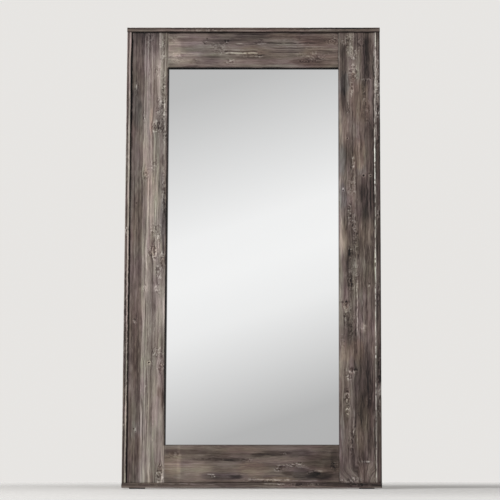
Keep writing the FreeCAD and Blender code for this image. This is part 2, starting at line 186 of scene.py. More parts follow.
def woodFinish(name, look):
    wood = Finish(name, Specular_IOR_Level=0.28)
    path = wood.node("ShaderNodeAttribute", attribute_name="grainPath").outputs["Vector"]
    paint = wood.node("ShaderNodeAttribute", attribute_name="paint").outputs
    parts = wood.node("ShaderNodeSeparateColor", {"Color": paint["Color"]}).outputs
    tone, warmth, wear = (Level(wood, parts[i]) for i in range(3))
    blush = Level(wood, paint["Alpha"])
    fibre = wood.noise(wood.stretched(path, woodGrain["fibre"]), 1.0, 4.0, 0.6)
    streak = wood.noise(wood.stretched(path, woodGrain["streak"]), 1.0, 3.0, 0.55)
    split = wood.maths("ABSOLUTE", wood.noise(wood.stretched(path, woodGrain["split"]), 1.0, 2.0))
    patch = wood.noise(wood.stretched(path, woodGrain["splitPatch"]), 1.0, 2.0) - woodGrain["splitGate"]
    checks = wood.maths("SUBTRACT", 1.0, split / woodGrain["splitWidth"], clamp=True)    # fine dark cracks
    checks = checks * wood.maths("MULTIPLY", patch, 9.0, clamp=True)
    shade = tone + fibre * look["fibre"] + streak * look["streak"] - checks * look["checks"]
    stops = []
    for step in (0.0, 0.12, 0.24, 0.36, 0.48, 0.6, 0.75, 1.0):
        red = max(look["redLeast"], look["redDark"] - look["redFall"] * step)
        stops.append((step, [min(1, step * hue) ** 2.2 for hue in (red, 1, look["blue"])]))
    colour = wood.ramp(shade, stops)
    tint = wood.mix(warmth * 0.5 + 0.5, look["coolTint"], look["warmTint"])
    blushTint = wood.mix(blush * 0.5 + 0.5, look["greenTint"], look["pinkTint"])
    worn = wood.mix(wear * 0.8, wood.mix(1.0, tint, blushTint, "MULTIPLY"), (0.95, 0.985, 1.04))
    wood.vary("Base Color", wood.mix(1.0, colour, worn, "MULTIPLY"))
    wood.vary("Roughness", look["roughness"] + fibre * 0.2)
    wood.bump(fibre + streak * 0.8 - checks * 0.6, look["bump"], 0.8)
    return wood.material


# how far the painted shadow of the boards reaches in on the silver from each side
silverEdgeShade = {"left": 5.0 * mm, "right": 1.6 * mm, "top": 4.5 * mm, "bottom": 2.0 * mm}


def mirrorFinish():
    # the silver is painted dark in a band along the boards, widest at the left and top: a painted shadow of
    # the boards
    silver = Finish("silveredGlass", Metallic=1.0)
    smudge = silver.noise(silver.place(), 5.0, 4.0)
    dust = silver.noise(silver.place(), 900.0, 1.0)
    veil = silver.maths("MAXIMUM", smudge - 0.05, 0.0)
    parts = silver.node("ShaderNodeSeparateXYZ", {0: silver.place()}).outputs
    across, up = Level(silver, parts[0]), Level(silver, parts[2])
    inwards = silver.maths("MINIMUM", (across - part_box("left_stile")[1].x) / silverEdgeShade["left"],
                           (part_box("right_stile")[0].x - across) / silverEdgeShade["right"])
    upwards = silver.maths("MINIMUM", (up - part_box("bottom_rail")[1].z) / silverEdgeShade["bottom"],
                           (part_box("top_rail")[0].z - up) / silverEdgeShade["top"])
    # dark is the painted shadow along the edges of the glass
    dark = silver.maths("SUBTRACT", 2.0, silver.maths("MINIMUM", inwards, upwards) * 2.0, clamp=True)
    clean = silver.mix(veil * 0.1, (0.95, 0.955, 0.955), (0.84, 0.84, 0.83))
    silver.vary("Base Color", silver.mix(dark * 0.97, clean, (0.03, 0.027, 0.024)))
    silver.vary("Roughness", 0.012 + veil * 0.04 + silver.maths("MAXIMUM", dust - 0.2, 0.0) * 0.05)
    return silver.material


def zincFinish(name, colour, roughness):
    zinc = Finish(name, Metallic=1.0)
    grains = zinc.noise(zinc.place(), 260.0, 4.0)
    bloom = zinc.maths("MAXIMUM", zinc.noise(zinc.place(), 38.0, 5.0, 0.65) * 4, 0.0, clamp=True)
    dull = tuple(0.72 * part for part in colour)
    zinc.vary("Base Color", zinc.mix(bloom * 0.55, colour, dull))
    zinc.vary("Roughness", roughness + grains * 0.18 + bloom * 0.22)
    zinc.bump(grains, 0.05 * mm)
    return zinc.material


def ironFinish():
    iron = Finish("nailIron", Specular_IOR_Level=0.4)
    patches = iron.noise(iron.place(), 330.0, 4.0, 0.6)
    rust = iron.maths("MULTIPLY", patches + 0.12, 5.0, clamp=True)
    iron.vary("Base Color", iron.mix(rust, (0.045, 0.040, 0.037), (0.075, 0.048, 0.034)))
    iron.vary("Metallic", 0.55 - rust * 0.5)
    iron.vary("Roughness", 0.52 + rust * 0.3)
    iron.bump(patches, 0.12 * mm)
    return iron.material


def rubberFinish():
    rubber = Finish("blackRubber", Specular_IOR_Level=0.3)
    grains = rubber.noise(rubber.place(), 1300.0, 2.0)
    dust = rubber.noise(rubber.place(), 60.0, 4.0)
    rubber.vary("Base Color", rubber.mix(dust * 0.5 + 0.3, (0.018, 0.018, 0.018), (0.05, 0.048, 0.045)))
    rubber.vary("Roughness", 0.78 + grains * 0.2)
    rubber.bump(grains, 0.08 * mm)
    return rubber.material


def boardFinish(name, pale, dark, cell):
    # pressed fibre: a fine felt of pale and dark flecks
    board = Finish(name, Specular_IOR_Level=0.3)
    felt = board.noise(board.place(), 1 / cell, 4.0, 0.7)
    flecks = board.noise(board.stretched(board.place(), (1, 1, 0.35)), 2.6 / cell, 2.0)
    cloud = board.noise(board.place(), 6.0, 3.0)
    blend = board.maths("ADD", felt * 1.3 + flecks * 1.1 + cloud * 0.7, 0.5, clamp=True)
    board.vary("Base Color", board.mix(blend, dark, pale))
    board.vary("Roughness", 0.72 + felt * 0.2)
    board.bump(felt + flecks, 0.08 * mm)
    return board.material


finishes = {
    "old": woodFinish("weatheredPine", oldPine),
    "raw": woodFinish("battenPine", rawPine),
    "mirror": mirrorFinish(),
    "zinc": zincFinish("dullZinc", (0.54, 0.54, 0.53), 0.42),
    "wire": zincFinish("zincWire", (0.68, 0.68, 0.66), 0.24),
    "iron": ironFinish(),
    "rubber": rubberFinish(),
    "hardboard": boardFinish("hardboard", (0.285, 0.185, 0.105), (0.135, 0.082, 0.044), 2.4 * mm),
    "foam": boardFinish("blackFoam", (0.035, 0.035, 0.035), (0.012, 0.012, 0.012), 0.6 * mm),
    "card": boardFinish("foamBoard", (0.74, 0.73, 0.70), (0.60, 0.59, 0.56), 1.5 * mm),
    "beech": boardFinish("beech", (0.50, 0.33, 0.20), (0.36, 0.22, 0.125), 1.2 * mm)}
print("finishes:", len(finishes))


# The weathering is worked out in millimetres, and seeded.
def noise(u, v, seed, octaves=1):
    # smooth noise from -1 to 1 on a lattice with a spacing of 1
    total, weight, falloff = 0.0, 0.0, 0.55
    for octave in range(octaves):
        table = np.random.default_rng(1000 * seed + octave).uniform(-1, 1, (256, 256))
        x, y = u * 2.0 ** octave, v * 2.0 ** octave
        i, j = np.floor(x).astype(int), np.floor(y).astype(int)
        fx, fy = x - i, y - j
        fx, fy = fx * fx * (3 - 2 * fx), fy * fy * (3 - 2 * fy)
        i, j, nextI, nextJ = i % 256, j % 256, (i + 1) % 256, (j + 1) % 256
        low = table[i, j] * (1 - fx) + table[nextI, j] * fx
        high = table[i, nextJ] * (1 - fx) + table[nextI, nextJ] * fx
        total = total + (low * (1 - fy) + high * fy) * falloff ** octave
        weight += falloff ** octave
    return total / weight


def fade(value, low, high):
    t = np.clip((value - low) / (high - low), 0, 1)
    return t * t * (3 - 2 * t)


def bell(value, reach, power=2):
    return np.exp(-(value / reach) ** power)


# how strongly each part of the figure shows in the tone of the wood
figure = {"fine": 0.045, "stripe": 0.07, "broad": 0.06, "blotch": 0.085, "fibre": 0.06, "seam": 0.13}
# how strongly each kind of mark shows, as changes of tone, and how deep a nail hole is, in mm
markTones = {
    "crumbLight": 0.30, "crumbDark": 0.25, "knotRings": 0.10, "knotCore": 0.8, "holeRim": 0.16,
    "holePit": 0.30, "holeDepth": 1.6, "chipBare": 0.08, "chipRubble": 0.26}

# the sawn ends: annual rings, whose width is in mm, and a fine mottle
endGrain = {"darker": 0.05, "rings": 0.10, "ringWidth": 1.9, "mottle": 0.05, "mottleSize": 3 * mm}


class Skin:
    # How one board's surface has weathered: the grain's own coordinate, the depth lost at each point,
    # and the paint, which is tone, warmth, wear and blush. Besides weathering, the tone carries painted
    # shade and highlights, given as marks. Each kind of mark has its own method, which says what the mark
    # adds to these layers
    def __init__(self, look, across, along, width, length):
        self.look, self.across, self.along, self.width, self.length = look, across, along, width, length
        self.grain = self.grainLines()
        self.layers = self.plainWood()
        self.ragged = self.noise(along / 24, across / 6, 14, 2)
        strayed = self.grain - across + 4 * self.noise(along / 90, across / 50, 13)
        self.wander = across + look.get("wander", 1.0) * strayed
        for kind, added in (("bands", self.band), ("washes", self.wash), ("crumbs", self.crumb),
                            ("knots", self.knot), ("scratches", self.scratch), ("holes", self.hole),
                            ("ends", self.end), ("arrises", self.arris), ("chips", self.chip)):
            for i, mark in enumerate(look.get(kind, ())):
                for layer, change in added(i, *mark).items():
                    self.layers[layer] = self.layers[layer] + change
        # painted shading on the board's sides: the face boards' sides, the walls of the glass's opening, are
        # painted darker as shade, and the right edge board's sides are painted lighter
        side = fade(-across, 1.5, 5) + fade(across - width, 1.5, 5)
        self.tone = self.layers["tone"] + look.get("sideShading", 0) * side
        self.warmth, self.wear = self.layers["warmth"], np.clip(self.layers["wear"], 0, 1)
        self.depth, self.blush = np.maximum(self.layers["depth"], 0), np.clip(self.layers["blush"], -1, 1)

    def noise(self, u, v, layer, octaves=1):
        return noise(u, v, self.look["seed"] + layer, octaves)

    def spot(self, middleAcross, middleAlong, halfAcross, halfAlong, rough, layer):
        # a soft-edged oval: 1 inside and 0 outside, with a ragged edge
        aside, off = (self.across - middleAcross) / halfAcross, (self.along - middleAlong) / halfAlong
        ragged = self.noise(self.across / (0.5 * halfAcross), self.along / (0.5 * halfAlong), layer, 2)
        return 1 - fade(np.hypot(aside, off) + rough * ragged, 0.55, 1.35)

    def grainLines(self):
        # lines that run along the board, flow round its knots and bend over its arches
        across, along = self.across, self.along
        grain = across + 5 * self.noise(along / 520, across / 180, 0)
        grain = grain + self.noise(along / 110, across / 30, 1)
        grain = grain + self.look.get("curl", 0) * self.noise(along / 48, across / 15, 15, 2)
        for knotAcross, knotAlong, size, stretch, _ in self.look.get("knots", ()):
            aside, off = across - knotAcross, along - knotAlong
            push = 1.5 * size * aside / np.hypot(aside, 0.5 * size) * np.exp(-np.abs(aside) / (2.4 * size))
            grain = grain - push * bell(off, 2.0 * size * stretch)
        for archAcross, archTop, spread, rise in self.look.get("arches", ()):
            lift = bell(across - archAcross, spread) * rise
            bent = spread * fade(archTop + lift - along, 0, rise)
            grain = grain + bent * np.tanh((across - archAcross) / spread)
        return grain

    def plainWood(self):
        look, across, along, grain = self.look, self.across, self.along, self.grain
        fine = self.noise(grain / 1.7, along / 300, 2, 2)
        stripe = np.tanh(2.2 * self.noise(grain / 3.6, along / 230, 4, 2))
        broad = self.noise(grain / 12, along / 420, 6, 2)
        blotch = self.noise(across / 40, along / 120, 7, 3)
        fibre = self.noise(grain / 1.3, along / 22, 8, 2)
        seam = np.clip(1 - np.abs(self.noise(grain / 8.5, along / 640, 9)) / 0.10, 0, 1)
        seam = seam * fade(self.noise(grain / 20, along / 170, 10), -0.25, 0.35)

        calmFrom, calmTo, calm = look.get("calm", (0, 0, 0))        # a part of the width with less figure
        offCalm, half = np.abs(grain - (calmFrom + calmTo) / 2), (calmTo - calmFrom) / 2
        contrast = look["contrast"] * (1 - calm * (1 - fade(offCalm, half - 3, half + 3)))
        stripes = look.get("stripes", 1)
        tone = look["tone"] + contrast * (
            figure["fine"] * fine + figure["stripe"] * stripes * stripe + figure["broad"] * broad
            + figure["blotch"] * blotch + figure["fibre"] * fibre - figure["seam"] * stripes * seam)
        blush = self.noise(across / 26, along / 95, 16, 3) + 0.4 * self.noise(grain / 4, along / 60, 17, 2)
        return {
            "tone": tone, "blush": blush, "wear": np.zeros_like(tone),
            "warmth": look.get("warmth", 0) + 0.5 * self.noise(across / 30, along / 160, 12, 2),
            "depth": look["relief"] * (0.30 - 0.20 * stripe - 0.10 * fine - 0.10 * fibre + 0.75 * seam)}

    def band(self, _, start, end, change):
        inside = fade(self.wander, start - 1.5, start + 1.5) * (1 - fade(self.wander, end - 1.5, end + 1.5))
        return {"tone": change * inside * (1 + 0.45 * self.ragged), "wear": 0.7 * inside * (change > 0.2)}

    def wash(self, i, across, along, halfAcross, halfAlong, change, warmer=0):
        mask = self.spot(across, along, halfAcross, halfAlong, 0.35, 20 + i)
        return {"tone": change * mask, "warmth": warmer * mask}

    def crumb(self, i, across, along, halfAcross, halfAlong, strength):
        # flaking wood: thin light and dark lines that follow curls of the grain
        mask = self.spot(across, along, halfAcross, halfAlong, 0.45, 40 + i) * strength
        swirl = 1.2 * self.noise(self.along / 18, self.across / 10, 50 + i)
        curls = self.noise(self.grain / 6.0 + swirl, self.along / 15, 60 + i, 2)
        light = np.clip(1 - np.abs(curls - 0.14) / 0.16, 0, 1)
        dark = np.clip(1 - np.abs(curls + 0.20) / 0.18, 0, 1)
        lost = self.look["relief"] * mask * (0.5 + 0.9 * dark - 0.4 * light)
        change = mask * (markTones["crumbLight"] * light - markTones["crumbDark"] * dark)
        return {"tone": change, "wear": mask * light, "depth": lost}

    def knot(self, _, across, along, size, stretch, knotTone):
        reach = np.hypot((self.across - across) / size, (self.along - along) / (size * stretch))
        reach = reach * (1 + 0.28 * self.noise(self.across / size, self.along / size, 80, 2))
        near, core = 1 - fade(reach, 0.8, 2.1), 1 - fade(reach, 0.3, 0.8)
        rings = np.cos(8.5 * reach + 2.5 * self.noise(self.across / 7, self.along / 9, 81, 2))
        change = markTones["knotRings"] * near * rings
        change = change + markTones["knotCore"] * core * (knotTone - self.layers["tone"])
        lost = self.look["relief"] * (0.35 * near * (1 - rings) + 0.6 * core)
        return {"tone": change, "warmth": 0.5 * near, "depth": lost}

    def scratch(self, _, across, along, halfAcross, halfAlong, change):
        stray = self.across - across - 1.5 * self.noise(self.along / 25, self.across * 0, 90)
        mask = bell(stray, halfAcross)
        mask = mask * (1 - fade(np.abs(self.along - along), 0.7 * halfAlong, halfAlong))
        mask = mask * fade(self.noise(self.along / 9, self.across / 4, 91), -0.8, -0.1)
        return {"tone": change * mask, "wear": 0.5 * mask * (change > 0),
                "depth": self.look["relief"] * 0.5 * mask}

    def hole(self, _, across, along, size):
        # a dark pit with a pale rim
        reach = np.hypot(self.across - across, self.along - along) / size
        change = markTones["holeRim"] * bell(reach - 2.0, 0.5) - markTones["holePit"] * bell(reach, 1.1, 4)
        return {"tone": change, "depth": markTones["holeDepth"] * bell(reach, 0.9, 4)}

    def end(self, _, lowTone, highTone):
        return {"tone": lowTone * bell(self.along, 3) + highTone * bell(self.length - self.along, 3)}

    def arris(self, i, change, reach, erode):
        # i is 0 for the low front corner and 1 for the high one
        off = np.abs(self.across - i * self.width)
        ragged = self.noise(self.along / 34, self.across * 0, 95 + 2 * i, 3)
        nicks = fade(self.noise(self.along / 11, self.across / 9, 96 + 2 * i, 2), 0.15, 0.75)
        if self.look.get("glassSide") == i:              # another tone beside the glass than beside the rails: painted shade along the glass on the left stile
            (start, end), beside = self.look["glassAlong"], self.look["besideRail"]
            atGlass = fade(self.along, start, start + 10) * (1 - fade(self.along, end - 10, end))
            change = beside + (change - beside) * atGlass
        mask = bell(off, reach)
        return {"tone": change * mask * (0.75 + 0.45 * ragged),
                "wear": 0.6 * mask * (np.asarray(change) > 0.05),
                "depth": erode * bell(off, 1.6 * reach) * (0.55 + 0.45 * ragged + 1.5 * nicks)}

    def chip(self, _, across, along, chipLength, chipDepth):
        bow = np.clip(1 - ((self.along - along) / (0.5 * chipLength)) ** 2, 0, 1)
        mask = bow * bell(self.across - across, 7)
        rubble, bare = self.noise(self.across / 3.5, self.along / 6, 99, 3), fade(mask, 0.02, 0.3)
        return {"tone": bare * (markTones["chipBare"] + markTones["chipRubble"] * rubble), "wear": bare,
                "depth": chipDepth * mask * (0.85 + 0.5 * rubble)}

    def sawnEnds(self, atEnd, section, size):
        # the ends show the tree's rings round its pith, whose place is a share of the board's section
        ringAge = np.linalg.norm(section - np.array(self.look.get("pith", (0.4, 1.9))) * size, axis=2) / mm
        annual = self.noise(ringAge / endGrain["ringWidth"], ringAge * 0, 70, 2)
        fine = section / endGrain["mottleSize"]
        endTone = self.look["tone"] - endGrain["darker"] + endGrain["rings"] * annual
        endTone = endTone + endGrain["mottle"] * self.noise(fine[..., 0], fine[..., 1], 71, 3)
        self.tone = np.where(atEnd, endTone, self.tone)
        self.grain = np.where(atEnd, ringAge, self.grain)
        self.along = np.where(atEnd, section[..., 0] / mm, self.along)


boardMesh = {
    "acrossStep": 1.5 * mm, "alongStep": 3.0 * mm, "sideStep": 2.5 * mm, "backStep": 12 * mm,
    "arcSteps": 5, "endShrink": (0.1, 0.35, 0.62, 0.86), "endRound": 1.0 * mm, "sharpAngle": 48}


def sectionRing(corners, radii, counts):
    # points and outward normals round a section, which starts at the last corner
    points, normals = [], []
    for i, here in enumerate(corners):
        before, here, after = Vector(corners[i - 1]), Vector(here), Vector(corners[(i + 1) % len(corners)])
        arrive, leave = (here - before).normalized(), (after - here).normalized()
        start, end = before + arrive * radii[i - 1], here - arrive * radii[i]
        outward = Vector((arrive.y, -arrive.x))
        points += [start.lerp(end, k / counts[i]) for k in range(counts[i])]
        normals += [outward] * counts[i]
        if radii[i] > 0:
            centre = end - outward * radii[i]
            turned = Vector((leave.y, -leave.x))
            for k in range(boardMesh["arcSteps"]):
                normal = outward.slerp(turned, k / boardMesh["arcSteps"])
                points.append(centre + normal * radii[i])
                normals.append(normal)
    return np.array(points), np.array(normals)


def boardSection(width, depth, look, notched):
    # the section as (across, depth) from the board's low front corner, in metres
    low, high = look["radii"]
    rear = look.get("rearRadius", 0)
    front, side = round(width / boardMesh["acrossStep"]), round(depth / boardMesh["sideStep"])
    back = round(width / look.get("backStep", boardMesh["backStep"]))
    corners = [(0, depth), (0, 0), (width, 0), (width, depth)]
    radii = [rear, low, high, rear]
    counts = [back, side, front, side]
    if "rebate" in look:
        cut, rebate = look["rebate"]
        edge = width - cut
        if look["rebateAt"] == "low":
            hollow = [(cut, depth), (cut, rebate), (0, rebate)]
            corners[0:1] = hollow if notched else [(cut, depth), (cut / 2, depth), (0, depth)]
            radii[0:1], counts[0:1] = [0, 0, 0], [back, 1, 1]
        else:
            hollow = [(width, rebate), (edge, rebate), (edge, depth)]
            corners[3:4] = hollow if notched else [(width, depth), (width - cut / 2, depth), (edge, depth)]
            radii[3:4], counts[3:4] = [0, 0, 0], [side, 1, 1]
    return sectionRing(corners, radii, counts)


def unrolled(points):
    # distance round the section from its low front corner, so that the paint runs on over the arrises
    steps = np.linalg.norm(np.diff(points, axis=0), axis=1)
    travelled = np.concatenate([[0], np.cumsum(steps)])
    corner = np.argmin(np.linalg.norm(points, axis=1))
    return (travelled - travelled[corner]) / mm


def stations(length, rebateEnds):
    # places along a board, and how much the section shrinks there to close the end
    round0, step = boardMesh["endRound"], boardMesh["alongStep"]
    body = list(np.linspace(round0, length - round0, max(3, round(length / step))))
    for end in rebateEnds:
        body += [end - 0.1 * mm, end + 0.1 * mm]
    body = sorted(body)
    shrink = list(boardMesh["endShrink"])
    places = [0.0] * len(shrink) + [0.0, 0.3 * round0] + body + [length - 0.3 * round0, length]
    places += [length] * len(shrink)
    return np.array(places), np.array(shrink + [1.0] * (len(body) + 4) + shrink[::-1])


def boardRings(width, depth, look, places, rebateEnds):
    # the section at each place along a board, and the section's outward normals
    ring, normals = boardSection(width, depth, look, True)
    rings = np.repeat(ring[None], len(places), axis=0)
    if rebateEnds:
        whole, _ = boardSection(width, depth, look, False)
        rings[(places < rebateEnds[0]) | (places > rebateEnds[1])] = whole
    return ring, normals, rings


def sweptMesh(name, spots, mirrored):
    # joins rings of points into one closed mesh
    order = np.arange(spots[..., 0].size).reshape(spots.shape[:2])
    ahead = np.roll(order, -1, axis=1)
    quads = np.stack([order[:-1], ahead[:-1], ahead[1:], order[1:]], axis=-1).reshape(-1, 4)
    faces = quads.tolist() + [order[0][::-1].tolist(), order[-1].tolist()]
    if mirrored:
        faces = [face[::-1] for face in faces]
    mesh = bpy.data.meshes.new(name)
    mesh.from_pydata(spots.reshape(-1, 3).tolist(), [], faces)
    return mesh


def addBoard(node, look, finish):
    low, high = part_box(node)
    lengthAxis = 2 if high.z - low.z > high.x - low.x else 0
    acrossAxis = 2 - lengthAxis
    width, depth = high[acrossAxis] - low[acrossAxis], high.y - low.y
    length = high[lengthAxis] - low[lengthAxis]
    rebateEnds = [end * mm for end in look.get("rebateEnds", ())]
    places, shrink = stations(length, rebateEnds)
    ring, normals, rings = boardRings(width, depth, look, places, rebateEnds)
    travelled = np.repeat(unrolled(ring)[None], len(places), axis=0)
    along = np.repeat(places[:, None], len(ring), axis=1) / mm
    skin = Skin(look, travelled, along, width / mm, length / mm)

    hidden = fade(ring[:, 1] / mm, *look["hiddenDepth"]) if "hiddenDepth" in look else 0 * ring[:, 1]
    lost = skin.depth * (1 - hidden) * mm
    endRound = boardMesh["endRound"]
    toEnd = np.minimum(places, length - places)[:, None]
    lost = lost + 0.6 * endRound * bell(toEnd, 0.6 * endRound)
    rings = rings - normals[None] * lost[..., None]
    middle = np.array([width / 2, depth / 2])
    rings = middle + (rings - middle) * shrink[:, None, None]
    skin.sawnEnds((shrink < 1)[:, None] | (toEnd < 0.1 * endRound), rings, (width, depth))

    spots = np.zeros(rings.shape[:2] + (3,))
    spots[..., acrossAxis] = rings[..., 0] + low[acrossAxis]
    spots[..., 1] = rings[..., 1] + low.y
    spots[..., lengthAxis] = places[:, None] + low[lengthAxis]
    mesh = sweptMesh(node + "Board", spots, lengthAxis == 0)
    paint = np.stack([skin.tone, skin.warmth, skin.wear, skin.blush], axis=-1)
    mesh.attributes.new("paint", "FLOAT_COLOR", "POINT").data.foreach_set("color", paint.ravel())
    path = np.stack([skin.grain * mm, skin.along * mm, np.zeros_like(skin.grain)], axis=-1)
    mesh.attributes.new("grainPath", "FLOAT_VECTOR", "POINT").data.foreach_set("vector", path.ravel())
    mesh.shade_smooth()
    mesh.set_sharp_from_angle(angle=math.radians(boardMesh["sharpAngle"]))
    return finishPiece(node + "Board", mesh, finish, [node], look["slot"])


def addObject(name, data):
    made = bpy.data.objects.new(name, data)
    bpy.context.scene.collection.objects.link(made)
    return made


def finishPiece(name, mesh, finish, nodes, slot, body=frameBody):
    piece = addObject(name, mesh)
    mesh.materials.clear()
    mesh.materials.append(finishes[finish])
    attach(piece, body)
    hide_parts(*nodes)
    return piece


# How each board has weathered, and where shade and highlights are painted on it. Marks are given in mm
# as across and along, from the board's low front corner and low end: across runs to the right on a stile
# and up on a rail, and goes on round the corners on to the sides. Tone changes are shares of the way
# from black to white.
#   bands      from, to, change of tone: strips that run the whole length
#   washes     across, along, half width, half length, change of tone, and of warmth where it has one
#   crumbs     across, along, half width, half length, strength
#   knots      across, along, radius, stretch, tone
#   scratches  across, along, half width, half length, change of tone
#   holes      across, along, radius
#   arches     across, top, spread, rise: grain that bends over like the foot of a branch
#   arrises    change of tone, reach, depth worn off: the low corner, then the high one
#   chips      across, along, length, depth
#   ends       change of tone at the low end and at the high end

# the face boards' sides, the walls of the glass's opening, carry painted shade
faceBoard = dict(
    slot="old_pine_face", relief=1.0, contrast=1.0, rebate=(12 * mm, 12 * mm),
    radii=(1.6 * mm, 1.6 * mm), hiddenDepth=(12, 14), sideShading=-0.22, glassAlong=(144, 1696))

# painted shade on the left stile: its dark high arris and the dark wash at across 149 along the glass, and
# the dark strip, low arris and long dark scratch at across under 5 beside the proud left edge board
leftStile = dict(
    faceBoard, seed=11, tone=0.472, stripes=1.3, curl=0.8, contrast=1.2,
    calm=(0, 54, 0.45), rebateAt="high", rebateEnds=(138, 1702), ends=((-0.04, -0.30),),
    arrises=((-0.10, 3.0, 0.4), (-0.75, 4.0, 0.6)), glassSide=1, besideRail=-0.05,
    bands=((-20, 4.5, -0.14), (4.5, 54, -0.15), (55, 58, 0.07), (133, 142, -0.04)),
    washes=(
        (149, 920, 5, 790, -0.14), (75, 1845, 90, 36, -0.07, -0.2), (75, 1800, 70, 60, -0.07, -0.2),
        (18, 1767, 22, 50, 0.03), (21, 1528, 20, 90, -0.05, -0.9), (83, 1468, 7, 55, 0.0, 1.6),
        (60, 1400, 40, 60, -0.02, 0.2), (87, 1160, 32, 80, 0.06, 0.3), (134, 1050, 11, 120, -0.13, -1.2),
        (30, 1060, 24, 110, -0.03, 0.5), (120, 1430, 24, 120, -0.04, -0.5), (88, 782, 42, 16, 0.06),
        (28, 600, 26, 170, -0.04, 0.4), (95, 330, 34, 120, -0.02, 0.1), (37, 140, 26, 70, -0.04, 0.6),
        (110, 150, 34, 40, 0.02, 0.1), (30, 213, 24, 34, 0.03, -0.4), (138, 333, 7, 44, -0.14, 0.5),
        (132, 1305, 6, 26, -0.16, -0.3), (126, 362, 9, 22, -0.09, 0.6), (142, 690, 4, 60, 0.12),
        (125, 1215, 12, 60, -0.06, -0.6), (14, 420, 18, 80, 0.08)),
    crumbs=(
        (127, 1791, 14, 26, 0.6), (130, 1737, 13, 26, 0.7), (107, 1677, 18, 24, 0.5),
        (132, 1600, 11, 70, 0.9), (121, 1528, 18, 46, 0.9), (133, 1490, 11, 50, 1.0),
        (116, 1450, 20, 34, 0.8), (138, 1410, 9, 40, 0.9), (54, 1486, 8, 26, 0.6), (101, 1445, 16, 24, 0.9),
        (71, 1809, 20, 30, 0.5), (63, 1255, 17, 28, 0.9), (97, 1285, 14, 28, 0.7), (109, 1015, 26, 34, 0.7),
        (118, 985, 14, 30, 0.9), (98, 933, 22, 34, 0.8), (133, 895, 13, 40, 1.0), (122, 845, 16, 40, 0.8),
        (64, 782, 12, 14, 0.8), (116, 776, 14, 22, 0.8), (25, 648, 10, 12, 1.0), (119, 520, 24, 24, 0.9),
        (91, 478, 13, 15, 1.0), (131, 465, 13, 32, 1.0), (133, 40, 15, 38, 0.9), (136, 1180, 8, 130, 0.6),
        (20, 1600, 8, 40, 0.4)),
    knots=(
        (101, 1445, 9, 1.5, 0.42), (63, 1255, 7, 1.7, 0.40), (84, 480, 6, 1.3, 0.22),
        (133, 462, 8, 1.5, 0.28), (98, 933, 9, 1.7, 0.40), (133, 892, 7, 2.0, 0.30),
        (133, 55, 8, 1.9, 0.32)),
    scratches=(
        (1.5, 1630, 2.2, 230, -0.32), (72, 1620, 1.5, 110, 0.10), (88, 1640, 1.4, 120, 0.09),
        (80, 1620, 1.4, 120, -0.11), (96, 1600, 1.4, 100, -0.10), (78, 1150, 1.5, 130, -0.12),
        (95, 1190, 1.4, 110, -0.10), (104, 1150, 1.5, 120, 0.09), (68, 900, 1.6, 110, 0.12),
        (76, 640, 1.5, 130, -0.12), (106, 640, 1.6, 110, -0.10), (90, 660, 1.5, 110, 0.08),
        (66, 400, 1.5, 160, 0.08), (80, 260, 1.5, 140, -0.12), (94, 270, 1.5, 130, 0.09),
        (102, 250, 1.5, 120, -0.12), (72, 385, 2.0, 6, 0.22), (21, 1611, 2.6, 12, 0.28),
        (127, 1789, 2.6, 7, 0.24), (129, 1737, 2.6, 8, 0.28), (32, 213, 2.4, 6, 0.26),
        (127, 3, 8.0, 3, 0.34), (24, 646, 2.2, 8, 0.30), (30, 640, 2.0, 6, 0.26)),
    holes=((84, 480, 2.6), (35, 205, 1.6)))
